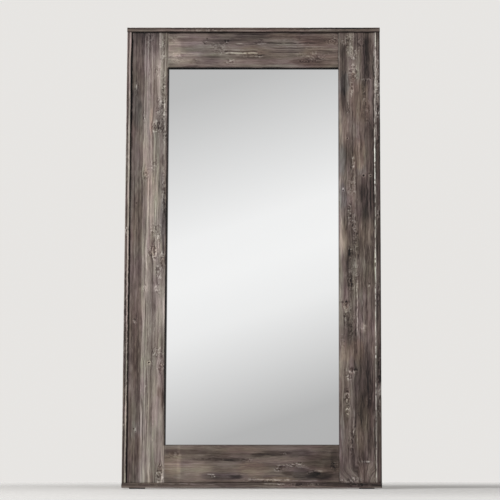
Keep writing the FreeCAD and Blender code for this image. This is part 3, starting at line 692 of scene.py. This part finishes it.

# painted highlight on the right stile: its light high arris and the light scratches at across 147 to 150,
# where the key lamp catches the corner beside the right edge board
rightStile = dict(
    faceBoard, seed=37, tone=0.325, stripes=0.7, contrast=1.4, curl=4.5, warmth=0.1,
    rebateAt="low", rebateEnds=(138, 1702), ends=((-0.04, -0.14),),
    arrises=((-0.03, 2.4, 0.5), (0.34, 3.4, 0.25)), glassSide=0, besideRail=0.12,
    bands=((88, 141, -0.045),),
    washes=(
        (9, 890, 13, 720, 0.11), (45, 890, 22, 760, -0.03), (42, 1809, 30, 34, 0.09, 0.3),
        (59, 1758, 24, 24, 0.07, 0.2), (62, 1690, 18, 26, 0.06, 0.2), (18, 1765, 14, 44, -0.08),
        (124, 1770, 22, 50, -0.08, 0.3), (21, 1623, 22, 46, -0.05, -1.4), (15, 1552, 14, 52, -0.07, 0.2),
        (58, 1560, 18, 70, 0.04, 0.4), (91, 1552, 34, 90, 0.02, 1.4), (81, 1330, 24, 60, 0.03, 1.7),
        (23, 1433, 18, 60, 0.07, 0.4), (14, 1308, 14, 60, 0.01, -1.5), (16, 1155, 14, 60, -0.05, -1.2),
        (95, 1267, 20, 24, 0.07, -0.6), (112, 1145, 34, 80, -0.06), (54, 1200, 18, 70, 0.04, 0.2),
        (19, 985, 20, 60, 0.09, 0.5), (109, 1015, 30, 56, 0.05, 0.5), (73, 870, 42, 40, 0.05, -0.3),
        (126, 915, 20, 50, -0.07), (13, 870, 13, 40, -0.06), (29, 701, 14, 16, 0.04, 0.2),
        (93, 741, 17, 36, 0.03, -0.4), (98, 618, 14, 22, 0.09, 0.4), (26, 522, 22, 40, 0.06, 0.8),
        (72, 530, 26, 50, 0.03, 1.3), (106, 500, 26, 60, -0.03), (100, 400, 30, 70, -0.05, -0.2),
        (135, 528, 12, 44, 0.05, 0.3), (100, 293, 34, 70, -0.06, 0.4), (82, 180, 28, 60, 0.03, 0.3),
        (10, 214, 9, 60, 0.07, -0.5), (25, 254, 10, 34, -0.07, 0.2), (130, 180, 16, 70, -0.05, 0.2),
        (104, 40, 34, 34, 0.02, 0.3)),
    crumbs=(
        (42, 1800, 26, 34, 1.0), (59, 1755, 24, 26, 0.9), (62, 1683, 20, 24, 0.8), (112, 1645, 20, 9, 0.9),
        (60, 1655, 22, 9, 0.7), (53, 1600, 8, 36, 0.8), (38, 1525, 8, 30, 0.6), (90, 1800, 14, 30, 0.6),
        (104, 1560, 8, 60, 0.5), (58, 1291, 8, 30, 0.9), (54, 1215, 17, 60, 0.6), (45, 1085, 13, 40, 0.9),
        (60, 1040, 13, 44, 0.8), (45, 933, 9, 26, 0.8), (66, 960, 14, 60, 0.5), (56, 830, 26, 60, 0.6),
        (34, 700, 18, 22, 0.8), (26, 655, 8, 34, 0.9), (50, 640, 16, 60, 0.5), (98, 620, 12, 16, 0.6),
        (49, 448, 24, 11, 1.0), (38, 422, 13, 18, 1.0), (31, 345, 12, 34, 0.9), (34, 293, 10, 26, 1.0),
        (57, 219, 8, 50, 0.7), (48, 157, 12, 40, 0.6), (107, 84, 28, 7, 0.9), (60, 12, 34, 12, 1.0),
        (8, 8, 10, 12, 0.9), (14, 560, 12, 40, 0.4), (120, 1500, 12, 60, 0.35)),
    knots=(
        (28, 712, 8, 1.5, 0.26), (51, 445, 8, 1.2, 0.22), (33, 345, 7, 2.4, 0.26), (34, 285, 7, 2.0, 0.30),
        (60, 1655, 9, 1.2, 0.30)),
    scratches=(
        (73, 706, 1.7, 128, 0.34), (67, 716, 1.7, 140, -0.16), (80, 716, 1.5, 120, -0.10),
        (50, 805, 1.8, 40, -0.16), (58, 1295, 1.8, 28, 0.30), (53, 1300, 1.5, 30, -0.14),
        (56, 1420, 1.6, 110, -0.14), (76, 1450, 1.5, 110, 0.08), (92, 1440, 1.6, 120, -0.12),
        (110, 1430, 1.5, 100, 0.07), (66, 1160, 1.7, 110, 0.12), (74, 1130, 1.6, 90, -0.12),
        (74, 994, 2.6, 14, -0.24), (44, 933, 3.0, 20, -0.18), (79, 909, 2.6, 12, -0.18),
        (21, 725, 15.0, 4, -0.24), (68, 560, 1.7, 60, -0.18), (60, 500, 1.6, 60, -0.12),
        (112, 300, 1.6, 60, 0.08), (58, 240, 1.8, 60, 0.20), (64, 210, 1.6, 60, -0.14),
        (72, 130, 1.7, 60, 0.10), (139, 230, 1.5, 150, 0.16), (142.5, 1340, 1.9, 480, -0.32),
        (143.5, 120, 1.7, 150, -0.26), (147.6, 1500, 2.2, 340, 0.28), (149.0, 830, 2.8, 640, 0.62),
        (149.2, 150, 2.0, 160, 0.42), (107, 84, 26.0, 3, 0.10), (121, 792, 2.2, 6, 0.34),
        (129, 1243, 2.6, 7, 0.18), (113, 332, 2.2, 6, 0.26), (18, 1188, 2.4, 6, 0.34),
        (98, 618, 9.0, 3, 0.14)),
    arches=((100, 62, 30, 60), (100, 30, 19, 50)),
    holes=((101, 1243, 3.3), (129, 1243, 2.6), (18, 1182, 2.4), (35, 1397, 2.4)))

# painted shade on the top rail: the dark strips along its top side beside the top edge board and along its
# underside at the glass, and its dark arrises
topRail = dict(
    faceBoard, seed=53, tone=0.342, curl=2.0, stripes=0.55, contrast=1.0, rebateAt="low",
    arrises=((-0.30, 3.0, 0.5), (-0.20, 3.0, 0.4)), ends=((0.08, -0.10),),
    bands=((144, 170, -0.10), (-20, 3.5, -0.16)),
    washes=(
        (84, 24, 40, 30, 0.10, 0.2), (42, 60, 34, 60, 0.06, 0.4), (135, 60, 18, 90, -0.05, -0.3),
        (84, 120, 34, 50, 0.03, -0.3), (49, 171, 30, 40, -0.05), (28, 109, 14, 24, -0.04, 0.2),
        (112, 200, 24, 60, -0.05, -0.4), (120, 320, 20, 90, -0.05, -0.3), (140, 335, 10, 70, -0.05),
        (21, 330, 16, 110, 0.06, 0.3), (70, 350, 24, 50, -0.02, 0.8), (66, 445, 26, 50, 0.0, 0.3),
        (133, 480, 12, 90, -0.04, 0.8), (119, 590, 16, 80, -0.04, 0.6), (55, 569, 18, 50, 0.06, 0.3),
        (24, 560, 12, 60, -0.10, 0.4), (40, 660, 26, 36, 0.03, 0.2), (21, 638, 12, 34, -0.05, 0.2),
        (90, 600, 26, 60, -0.03, 0.5), (75, 80, 90, 120, 0.03, 0.2), (75, 640, 90, 100, -0.02, 0.5)),
    crumbs=(
        (84, 215, 30, 40, 0.45), (108, 150, 10, 10, 0.9), (112, 239, 8, 9, 1.0), (26, 255, 14, 20, 0.6),
        (42, 40, 26, 36, 0.35), (120, 20, 20, 20, 0.5), (28, 109, 12, 12, 0.6), (56, 375, 12, 16, 0.6),
        (112, 384, 10, 12, 0.7), (48, 600, 20, 60, 0.5), (122, 676, 20, 18, 0.7), (52, 330, 10, 40, 0.4)),
    knots=((112, 672, 9, 1.6, 0.32), (28, 560, 6, 3.0, 0.26)),
    scratches=(
        (63, 300, 2.0, 76, 0.36), (55, 320, 1.7, 90, -0.20), (70, 300, 1.6, 80, -0.16),
        (75, 320, 1.5, 70, 0.14), (103, 315, 2.0, 46, 0.26), (103, 384, 1.8, 22, 0.28),
        (97, 320, 1.5, 70, -0.14), (49, 360, 1.6, 30, 0.24), (105, 470, 1.7, 160, -0.20),
        (99, 480, 1.5, 140, 0.08), (84, 560, 1.7, 150, -0.18), (90, 540, 1.5, 130, 0.10),
        (118, 560, 1.6, 120, -0.14), (66, 480, 1.6, 80, -0.12), (72, 620, 1.5, 60, -0.10),
        (135, 500, 1.6, 140, -0.12), (127, 520, 1.6, 120, 0.08), (38, 610, 1.6, 60, 0.10)),
    holes=((110, 236, 1.8), (26, 257, 1.6)))

bottomRail = dict(
    faceBoard, seed=71, tone=0.338, curl=2.5, stripes=0.15, contrast=0.85, warmth=0.2,
    rebateAt="high", arrises=((-0.06, 2.5, 0.4), (-0.10, 2.5, 0.4)), ends=((0.06, -0.08),),
    washes=(
        (122, 80, 18, 90, -0.07), (104, 210, 16, 60, -0.06, 0.1), (91, 280, 8, 40, -0.11, -0.2),
        (77, 30, 50, 34, 0.04, 1.0), (75, 58, 90, 8, 0.05, 0.3), (60, 130, 26, 60, 0.05, 0.2),
        (71, 250, 14, 70, 0.06, -0.2), (28, 230, 16, 80, -0.09, -0.9), (24, 290, 9, 26, -0.10, -0.6),
        (51, 360, 36, 60, 0.04, 0.9), (117, 440, 11, 60, -0.13), (110, 375, 7, 30, -0.10),
        (117, 540, 14, 60, -0.08, -0.3), (58, 462, 9, 24, -0.06, 0.6), (38, 495, 9, 24, -0.11, 0.3),
        (31, 565, 26, 60, -0.10, -0.8), (25, 628, 14, 50, -0.13, -0.2), (64, 668, 30, 30, -0.06, 0.2),
        (91, 682, 40, 20, -0.08, 0.3), (100, 620, 20, 60, -0.03, 0.3), (15, 450, 9, 60, 0.03, 0.9),
        (75, 640, 80, 80, -0.06, 0.1), (75, 90, 80, 90, 0.04, 0.1), (130, 300, 12, 90, 0.03, 0.4)),
    crumbs=(
        (70, 520, 12, 40, 0.8), (60, 470, 12, 26, 0.7), (50, 455, 12, 18, 0.7), (28, 194, 7, 9, 1.0),
        (12, 420, 8, 90, 0.6), (40, 600, 12, 26, 0.7), (114, 482, 7, 8, 0.9), (64, 680, 18, 14, 0.8),
        (90, 330, 8, 30, 0.4), (110, 40, 12, 30, 0.4)),
    scratches=(
        (74, 528, 1.8, 22, 0.34), (66, 545, 1.6, 30, 0.26), (60, 556, 1.6, 26, 0.22),
        (70, 470, 1.6, 24, 0.20), (34, 186, 1.8, 16, 0.24), (26, 197, 2.2, 8, 0.36),
        (91, 200, 1.6, 90, -0.18), (97, 170, 1.6, 70, -0.12), (12, 420, 1.8, 90, 0.22),
        (8, 560, 1.6, 60, 0.14), (5, 400, 1.6, 70, -0.16), (46, 615, 1.6, 20, 0.22),
        (44, 590, 1.5, 16, 0.22), (80, 420, 1.5, 50, 0.08)),
    holes=((114, 482, 1.7), (28, 194, 1.4)))

edgeBoard = dict(
    slot="old_pine_edge", relief=0.75, contrast=1.0, stripes=0.6, wander=0.4,
    rearRadius=1.5 * mm, backStep=3 * mm, pith=(2.6, 0.4), ends=((-0.07, -0.10),))
# painted shade on the left edge board: the dark strip over its inner corner and side (across 18 to 40), its
# dark high arris and the dark scratch at across 17.5
leftEdge = dict(
    edgeBoard, seed=83, tone=0.44, radii=(2.5 * mm, 3.5 * mm),
    arrises=((0.05, 3.0, 0.5), (-0.10, 2.0, 0.7)),
    bands=((4.5, 9.5, -0.22), (11, 16.5, 0.14), (18, 40, -0.40)),
    washes=((5, 500, 8, 420, -0.08),),
    crumbs=((10, 1015, 9, 24, 1.0), (8, 560, 8, 300, 0.4), (6, 1400, 8, 200, 0.3)),
    scratches=((8, 1024, 3.0, 7, 0.34), (5, 230, 3.0, 6, 0.26), (17.5, 480, 2.0, 500, -0.36)))
# the right edge board's low tone is partly the wood's and partly painted shade of the frame's right side;
# its light low arris and the light scratch at across 1.8 are a painted highlight of the key lamp on its
# inner corner, and its sides are painted lighter
rightEdge = dict(
    edgeBoard, seed=97, tone=0.215, sideShading=0.10, radii=(3.5 * mm, 2.5 * mm), contrast=1.1,
    arrises=((0.36, 2.4, 0.6), (-0.06, 3.0, 1.1)),
    bands=((4.5, 6.5, -0.04), (7.5, 11, 0.05), (16, 18, -0.05)),
    washes=((12, 1640, 9, 130, 0.14), (12, 365, 9, 40, 0.08), (10, 200, 9, 200, 0.06)),
    scratches=((1.8, 1620, 2.2, 260, 0.34),),
    chips=((20, 368, 64, 3.0), (20, 1500, 48, 4.0), (20, 1601, 62, 3.0)),
    crumbs=(
        (12, 1640, 11, 130, 1.0), (11, 1500, 9, 26, 1.0), (13, 300, 10, 50, 0.9), (12, 1090, 9, 40, 0.9),
        (14, 480, 9, 60, 0.7), (12, 380, 10, 50, 0.9), (15, 1390, 8, 60, 0.6), (12, 760, 8, 60, 0.5)))
topEdge = dict(
    edgeBoard, seed=109, tone=0.33, radii=(3.5 * mm, 2.5 * mm), warmth=0.3,
    arrises=((-0.10, 2.0, 0.7), (0.0, 2.5, 0.6)),
    bands=((-20, 1.5, -0.14), (4, 11, 0.06), (12, 16, -0.10)),
    washes=((16, 880, 4, 170, -0.18), (10, 640, 12, 120, -0.06, 0.2), (10, 900, 12, 90, -0.06)),
    crumbs=((9, 320, 8, 90, 0.5), (9, 760, 7, 140, 0.3)))
bottomEdge = dict(
    edgeBoard, seed=127, tone=0.275, radii=(2.5 * mm, 3.5 * mm), warmth=0.2,
    arrises=((0.04, 2.5, 0.5), (0.0, 2.6, 0.8)), bands=((2, 6, 0.11), (8, 13, -0.04)),
    washes=((10, 850, 16, 230, -0.05, 0.2),),
    crumbs=((14, 700, 7, 120, 0.6), (13, 960, 8, 60, 0.8), (15, 120, 7, 60, 0.4)),
    scratches=((16, 240, 1.8, 60, 0.20), (15, 610, 1.8, 50, 0.22), (14, 330, 1.6, 50, 0.14)))

batten = dict(
    slot="batten_pine", relief=0.22, contrast=0.55, tone=0.60, radii=(0.6 * mm, 0.6 * mm),
    rearRadius=1.5 * mm, backStep=3 * mm, arrises=((0.0, 1.5, 0.1), (0.0, 1.5, 0.1)),
    ends=((-0.07, -0.10),), warmth=0.1)
battens = {
    "left_batten": dict(seed=139, knots=((-55, 380, 5, 1.4, 0.42), (-45, 1120, 7, 1.3, 0.38))),
    "right_batten": dict(seed=151, knots=((-60, 640, 6, 1.3, 0.40), (-48, 1560, 4, 1.6, 0.42))),
    "top_batten": dict(seed=163, tone=0.57, knots=((-50, 240, 6, 1.3, 0.40),)),
    "bottom_batten": dict(seed=179, knots=((-60, 610, 5, 1.4, 0.42),)),
    "lower_cross_brace": dict(seed=191, tone=0.63, knots=((-60, 330, 8, 1.4, 0.40),)),
    "upper_cross_brace": dict(
        seed=197, tone=0.58, knots=((-45, 520, 7, 1.3, 0.40), (-70, 140, 4, 1.5, 0.42)))}

for node, look in {"left_stile": leftStile, "right_stile": rightStile, "top_rail": topRail,
                   "bottom_rail": bottomRail, "left_edge_board": leftEdge, "right_edge_board": rightEdge,
                   "top_edge_board": topEdge, "bottom_edge_board": bottomEdge}.items():
    addBoard(node, look, "old")
    print("weathered", node)
for node, look in battens.items():
    addBoard(node, {**batten, **look}, "raw")
print("battens and braces:", len(battens))


def solidBoxes(node):
    # lowest and highest corner of each separate solid in a node
    mesh = frame["nodes"][node].data
    spots = np.array([v.co for v in mesh.vertices])
    _, same = np.unique(np.round(spots, 6), axis=0, return_inverse=True)
    same = same.ravel()
    group = np.arange(same.max() + 1)
    triangles = same[np.array([list(face.vertices) for face in mesh.polygons])]
    for _ in range(60):                              # a solid's points all take its lowest number
        lowest = group[triangles].min(axis=1)
        before = group.copy()
        for k in range(3):
            np.minimum.at(group, triangles[:, k], lowest)
        if (before == group).all():
            break
    owner = group[same]
    return [(spots[owner == g].min(axis=0), spots[owner == g].max(axis=0)) for g in np.unique(owner)]


middleOf = (cadBox[0] + cadBox[1]) / 2


def headPlaces(node, sink, depthSign):
    # where each head sits and the way it faces. depthSign is -1 for heads in front, 1 behind
    places, facings = [], []
    for low, high in solidBoxes(node):
        axis = int(np.argmax(high - low))
        sign = depthSign if axis == 1 else (1 if low[axis] + high[axis] > middleOf[axis] * 2 else -1)
        spot = (low + high) / 2
        spot[axis] = (high[axis] if sign > 0 else low[axis]) - sign * sink
        facing = np.zeros(3)
        facing[axis] = sign
        places.append(spot)
        facings.append(facing)
    return places, facings


# shares of a head's height: where its crown starts to narrow, its washer's height and how low that
# lies; and the scale of the hammer marks, and the least and greatest size among the heads
headShape = {
    "shoulder": 0.25, "washerSides": 18, "washerHeight": 0.4, "washerDrop": -0.35, "dentScale": 420.0,
    "least": 0.92, "greatest": 1.04}


def headTree():
    # heads on points: a prism whose upper half narrows to its crown, over an optional washer
    tree = bpy.data.node_groups.new("fastenerHeads", "GeometryNodeTree")
    face = tree.interface
    face.new_socket("Geometry", in_out="OUTPUT", socket_type="NodeSocketGeometry")
    for name, kind in (("Geometry", "Geometry"), ("Sides", "Int"), ("Radius", "Float"), ("Height", "Float"),
                       ("Crown", "Float"), ("Washer Radius", "Float"), ("Hammering", "Float"),
                       ("Seed", "Int"), ("Material", "Material")):
        face.new_socket(name, in_out="INPUT", socket_type="NodeSocket" + kind)
    graph = Graph(tree)
    given = graph.node("NodeGroupInput").outputs
    height = Level(graph, given["Height"])
    prism = graph.node("GeometryNodeMeshCylinder", {
        "Vertices": given["Sides"], "Side Segments": 2, "Radius": given["Radius"], "Depth": height})
    position = graph.node("GeometryNodeInputPosition")
    up = Level(graph, graph.node("ShaderNodeSeparateXYZ", {0: position}).outputs["Z"])
    atTop = graph.maths("GREATER_THAN", up, height * headShape["shoulder"])
    taper = 1 - (1 - Level(graph, given["Crown"])) * atTop
    scale = graph.node("ShaderNodeCombineXYZ", {"X": taper, "Y": taper, "Z": 1.0})
    crowned = graph.node("GeometryNodeSetPosition", {
        "Geometry": prism, "Position": graph.stretched(position, scale)})
    washer = graph.node("GeometryNodeMeshCylinder", {
        "Vertices": headShape["washerSides"], "Radius": given["Washer Radius"],
        "Depth": height * headShape["washerHeight"]})
    washerDown = graph.node("ShaderNodeCombineXYZ", {"Z": height * headShape["washerDrop"]})
    washerLow = graph.node("GeometryNodeTransform", {"Geometry": washer, "Translation": washerDown})
    head = graph.node("GeometryNodeJoinGeometry")
    graph.feed(head.inputs[0], crowned)
    graph.feed(head.inputs[0], washerLow)

    facing = graph.node("GeometryNodeInputNamedAttribute", {"Name": "facing"}, data_type="FLOAT_VECTOR")
    aimed = graph.node("FunctionNodeAlignRotationToVector", {"Vector": facing}, axis="Z")
    turn, size = (
        graph.node("FunctionNodeRandomValue", {2: low, 3: high, "Seed": given["Seed"]}, data_type="FLOAT")
        for low, high in ((0.0, math.tau), (headShape["least"], headShape["greatest"])))
    spin = graph.node("ShaderNodeCombineXYZ", {"Z": turn.outputs[1]})
    spinRotation = graph.node("FunctionNodeEulerToRotation", {0: spin})
    turned = graph.node("FunctionNodeRotateRotation", {
        "Rotation": aimed, "Rotate By": spinRotation}, rotation_space="LOCAL")
    placed = graph.node("GeometryNodeInstanceOnPoints", {
        "Points": given["Geometry"], "Instance": head, "Rotation": turned, "Scale": size.outputs[1]})
    real = graph.node("GeometryNodeRealizeInstances", {"Geometry": placed})
    dents = graph.node("ShaderNodeTexNoise", {"Vector": position, "Scale": headShape["dentScale"]})
    centred = graph.node("ShaderNodeVectorMath", {
        0: dents.outputs["Color"], 1: (0.5, 0.5, 0.5)}, operation="SUBTRACT")
    offset = graph.node("ShaderNodeVectorMath", {0: centred, "Scale": given["Hammering"]}, operation="SCALE")
    hammered = graph.node("GeometryNodeSetPosition", {"Geometry": real, "Offset": offset})
    painted = graph.node("GeometryNodeSetMaterial", {
        "Geometry": hammered, "Material": given["Material"]})
    graph.node("NodeGroupOutput", {0: painted})
    return tree


fastenerTree = headTree()
coachScrew = {
    "Sides": 6, "Radius": 4.0 * mm, "Height": 2.3 * mm, "Crown": 0.84, "Washer Radius": 4.6 * mm,
    "Hammering": 0.05 * mm, "finish": "zinc", "sink": 1.25 * mm, "depthSign": 1}
nail = {"Sides": 4, "Washer Radius": 1 * mm, "finish": "iron", "depthSign": -1}
fasteners = {
    "face_nails": {
        **nail, "Radius": 4.4 * mm, "Height": 2.0 * mm, "Crown": 0.42, "Hammering": 0.9 * mm, "Seed": 3,
        "sink": 0.3 * mm},
    "edge_board_nails": {
        **nail, "Radius": 3.4 * mm, "Height": 0.9 * mm, "Crown": 0.6, "Hammering": 0.25 * mm, "Seed": 5,
        "sink": 0.5 * mm},
    "back_panel_nails": {
        **nail, "Sides": 12, "Radius": 2.4 * mm, "Height": 0.9 * mm, "Crown": 0.75,
        "Hammering": 0.1 * mm, "Seed": 7, "finish": "zinc", "sink": 0.1 * mm, "depthSign": 1},
    "brace_screws": {**coachScrew, "Seed": 9},
    "corner_plate_screws": {**coachScrew, "Seed": 11},
    "hanger_screws": {**coachScrew, "Seed": 13}}


def addHeads(node, sizes):
    places, facings = headPlaces(node, sizes["sink"], sizes["depthSign"])
    points = bpy.data.meshes.new(node + "Points")
    points.from_pydata([tuple(place) for place in places], [], [])
    points.attributes.new("facing", "FLOAT_VECTOR", "POINT").data.foreach_set("vector", np.ravel(facings))
    holder = addObject(node + "Points", points)
    modifier = holder.modifiers.new("heads", "NODES")
    modifier.node_group = fastenerTree
    for item in fastenerTree.interface.items_tree:
        if item.in_out == "INPUT" and item.name in sizes:
            modifier[item.identifier] = sizes[item.name]
        elif item.in_out == "INPUT" and item.name == "Material":
            modifier[item.identifier] = finishes[sizes["finish"]]
    graph = bpy.context.evaluated_depsgraph_get()
    mesh = bpy.data.meshes.new_from_object(holder.evaluated_get(graph), depsgraph=graph)
    bpy.data.objects.remove(holder)
    slot = {"iron": "nail_iron", "zinc": "zinc_steel"}[sizes["finish"]]
    return finishPiece(node + "Heads", mesh, sizes["finish"], [node], slot)


for node, sizes in fasteners.items():
    made = addHeads(node, sizes)
    print("heads of", node, len(made.data.polygons), "faces")


hangerRing = {"wire": 4.0 * mm, "corner": 4.5 * mm, "sides": 16, "cornerSteps": 6, "archSteps": 30}


def addRing(side):
    node = side + "_hanger_ring"
    low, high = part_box(node)
    joint = next(j for j in frame["joints"] if j["name"] == side + "_ring_swing")
    hinge = Vector(joint["pos_m"])
    wire = hangerRing["wire"] / 2
    half = (high.x - low.x) / 2 - wire
    corner = hangerRing["corner"]
    drop = Vector((0, high.y - wire - hinge.y, low.z + wire - hinge.z))
    archZ = -(drop.length - half)
    path = []
    for centreX, centreZ, radius, first, last, steps in (
            (half - corner, -corner, corner, 90, 0, hangerRing["cornerSteps"]),
            (0, archZ, half, 0, -180, hangerRing["archSteps"]),
            (corner - half, -corner, corner, 180, 90, hangerRing["cornerSteps"])):
        for angle in np.radians(np.linspace(first, last, steps + 1)):
            path.append(Vector((centreX + radius * math.cos(angle), 0, centreZ + radius * math.sin(angle))))
    lean = Matrix.Rotation(math.atan2(drop.y, -drop.z), 4, "X")
    place = Matrix.Translation(hinge) @ lean
    count, sides = len(path), hangerRing["sides"]
    spots, faces = [], []
    for i, point in enumerate(path):
        travel = (path[(i + 1) % count] - path[i - 1]).normalized()
        inPlane = travel.cross(Vector((0, 1, 0)))
        for k in range(sides):
            angle = math.tau * k / sides
            offset = inPlane * math.cos(angle) + Vector((0, 1, 0)) * math.sin(angle)
            spots.append(place @ (point + offset * wire))
            after, turn = (i + 1) % count, (k + 1) % sides
            faces.append((i * sides + k, after * sides + k, after * sides + turn, i * sides + turn))
    mesh = bpy.data.meshes.new(node + "Wire")
    mesh.from_pydata(spots, [], faces)
    mesh.shade_smooth()
    return finishPiece(node + "Wire", mesh, "wire", [node], "ring_steel", side + "_ring")


for side in ("left", "right"):
    addRing(side)
print("hanger rings: 2")


keptNodes = {
    "mirror": ("mirror_glass",), "foam": ("glazing_tape",), "card": ("glass_backing_sheet",),
    "hardboard": ("back_panel",), "beech": ("rail_tenons",),
    "zinc": ("corner_plate_top_left", "corner_plate_top_right", "corner_plate_bottom_left",
             "corner_plate_bottom_right", "left_hanger_strap", "right_hanger_strap"),
    "rubber": ("glass_setting_blocks", "left_floor_pad", "right_floor_pad", "wall_bumpers")}

for finish, nodes in keptNodes.items():
    for node in nodes:
        materials = frame["nodes"][node].data.materials
        materials.clear()
        materials.append(finishes[finish])
print("nodes that keep their shape:", sum(len(nodes) for nodes in keptNodes.values()))


studio = {
    "pale": (0.80, 0.785, 0.765), "floorColour": (0.72, 0.705, 0.685), "floorRadius": 3.4, "fadeFrom": 1.1,
    "ambient": 0.33, "glowHeight": 0.1324, "glowTilt": 0.33,
    # the grey of the reflection at each distance above the glow's own line
    "glow": ((-0.5, 0.72), (-0.3, 0.62), (-0.16, 0.44), (-0.1016, 0.48), (-0.0671, 0.695), (-0.0366, 0.87),
             (-0.0065, 0.928), (0.0195, 0.908), (0.0545, 0.761), (0.1065, 0.535), (0.16, 0.47), (0.5, 0.62))}


def addFloor():
    steps = 96
    radius = studio["floorRadius"]
    turns = [math.tau * k / steps for k in range(steps)]
    rim = [(radius * math.cos(turn), radius * math.sin(turn), 0) for turn in turns]
    mesh = bpy.data.meshes.new("floor")
    mesh.from_pydata(rim, [], [list(range(steps))])
    floor = addObject("floor", mesh)
    paint = Finish("paleFloor", Base_Color=studio["floorColour"], Roughness=1.0, Specular_IOR_Level=0.0)
    length = paint.node("ShaderNodeVectorMath", {0: paint.place()}, operation="LENGTH").outputs["Value"]
    gone = (Level(paint, length) - studio["fadeFrom"]) / (0.9 * radius - studio["fadeFrom"])
    paint.vary("Alpha", paint.maths("SUBTRACT", 1.0, gone, clamp=True))
    mesh.materials.append(paint.material)


def lightWorld():
    # a pale background, a plain ambient light, and a soft glow that only the glass and metal reflect
    world = bpy.data.worlds.new("studio")
    bpy.context.scene.world = world
    world.use_nodes = True
    world.node_tree.nodes.clear()
    sky = Graph(world.node_tree)
    way = sky.node("ShaderNodeTexCoord").outputs["Generated"]
    parts = sky.node("ShaderNodeSeparateXYZ", {0: way}).outputs
    depth = sky.maths("MAXIMUM", sky.maths("ABSOLUTE", Level(sky, parts[1])), 0.2)
    aside, up = Level(sky, parts[0]) / depth, Level(sky, parts[2]) / depth
    offGlow = up - aside * studio["glowTilt"] - studio["glowHeight"]
    stops = [(place + 0.5, (grey, grey, grey)) for place, grey in studio["glow"]]
    glow = sky.ramp(offGlow + 0.5, stops)
    rays = sky.node("ShaderNodeLightPath").outputs
    mirrored = Level(sky, rays["Is Glossy Ray"])
    seen = sky.maths("MAXIMUM", Level(sky, rays["Is Camera Ray"]), Level(sky, rays["Is Transmission Ray"]))
    shown = sky.mix(mirrored, studio["pale"], glow)
    background = sky.node("ShaderNodeBackground", {"Color": shown, "Strength": 1.0})
    ambient = sky.node("ShaderNodeBackground", {"Color": (1, 1, 1), "Strength": studio["ambient"]})
    plain = sky.maths("MAXIMUM", mirrored, seen)
    mixed = sky.node("ShaderNodeMixShader", {0: plain, 1: ambient, 2: background})
    sky.node("ShaderNodeOutputWorld", {0: mixed})


lamps = {
    "key": {"at": (-3.4, -2.9, 3.2), "towards": (0.0, 0.0, 1.0), "size": 1.5, "power": 172},
    "fill": {"at": (2.6, -4.2, 1.6), "towards": (0.0, 0.0, 0.9), "size": 2.5, "power": 80},
    "rear": {"at": (-1.8, 3.6, 1.65), "towards": (0.0, 0.0, 1.0), "size": 3.2, "power": 62}}


def addLamp(name, lamp):
    light = bpy.data.lights.new(name, "AREA")
    light.size, light.energy = lamp["size"], lamp["power"]
    holder = addObject(name, light)
    holder.location = lamp["at"]
    aim = Vector(lamp["towards"]) - Vector(lamp["at"])
    holder.rotation_euler = aim.to_track_quat("-Z", "Y").to_euler()


# The camera stands low and in front of the glass. The mirror stands upright here and leans back in
# the photograph, so the view is pitched up by that lean.
camera = {"at": (0.2275, -7.027, 0.0946), "pitch": 7.055, "lens": 125.1, "shift": -0.1175}


def addCamera():
    data = bpy.data.cameras.new("photoView")
    data.lens, data.shift_x = camera["lens"], camera["shift"]
    holder = addObject("photoView", data)
    holder.location = camera["at"]
    holder.rotation_euler = (math.radians(90 + camera["pitch"]), 0, 0)
    bpy.context.scene.camera = holder


addFloor()
lightWorld()
for name, lamp in lamps.items():
    addLamp(name, lamp)
addCamera()
bpy.context.scene.view_settings.view_transform = "Standard"
print("floor, light and camera")
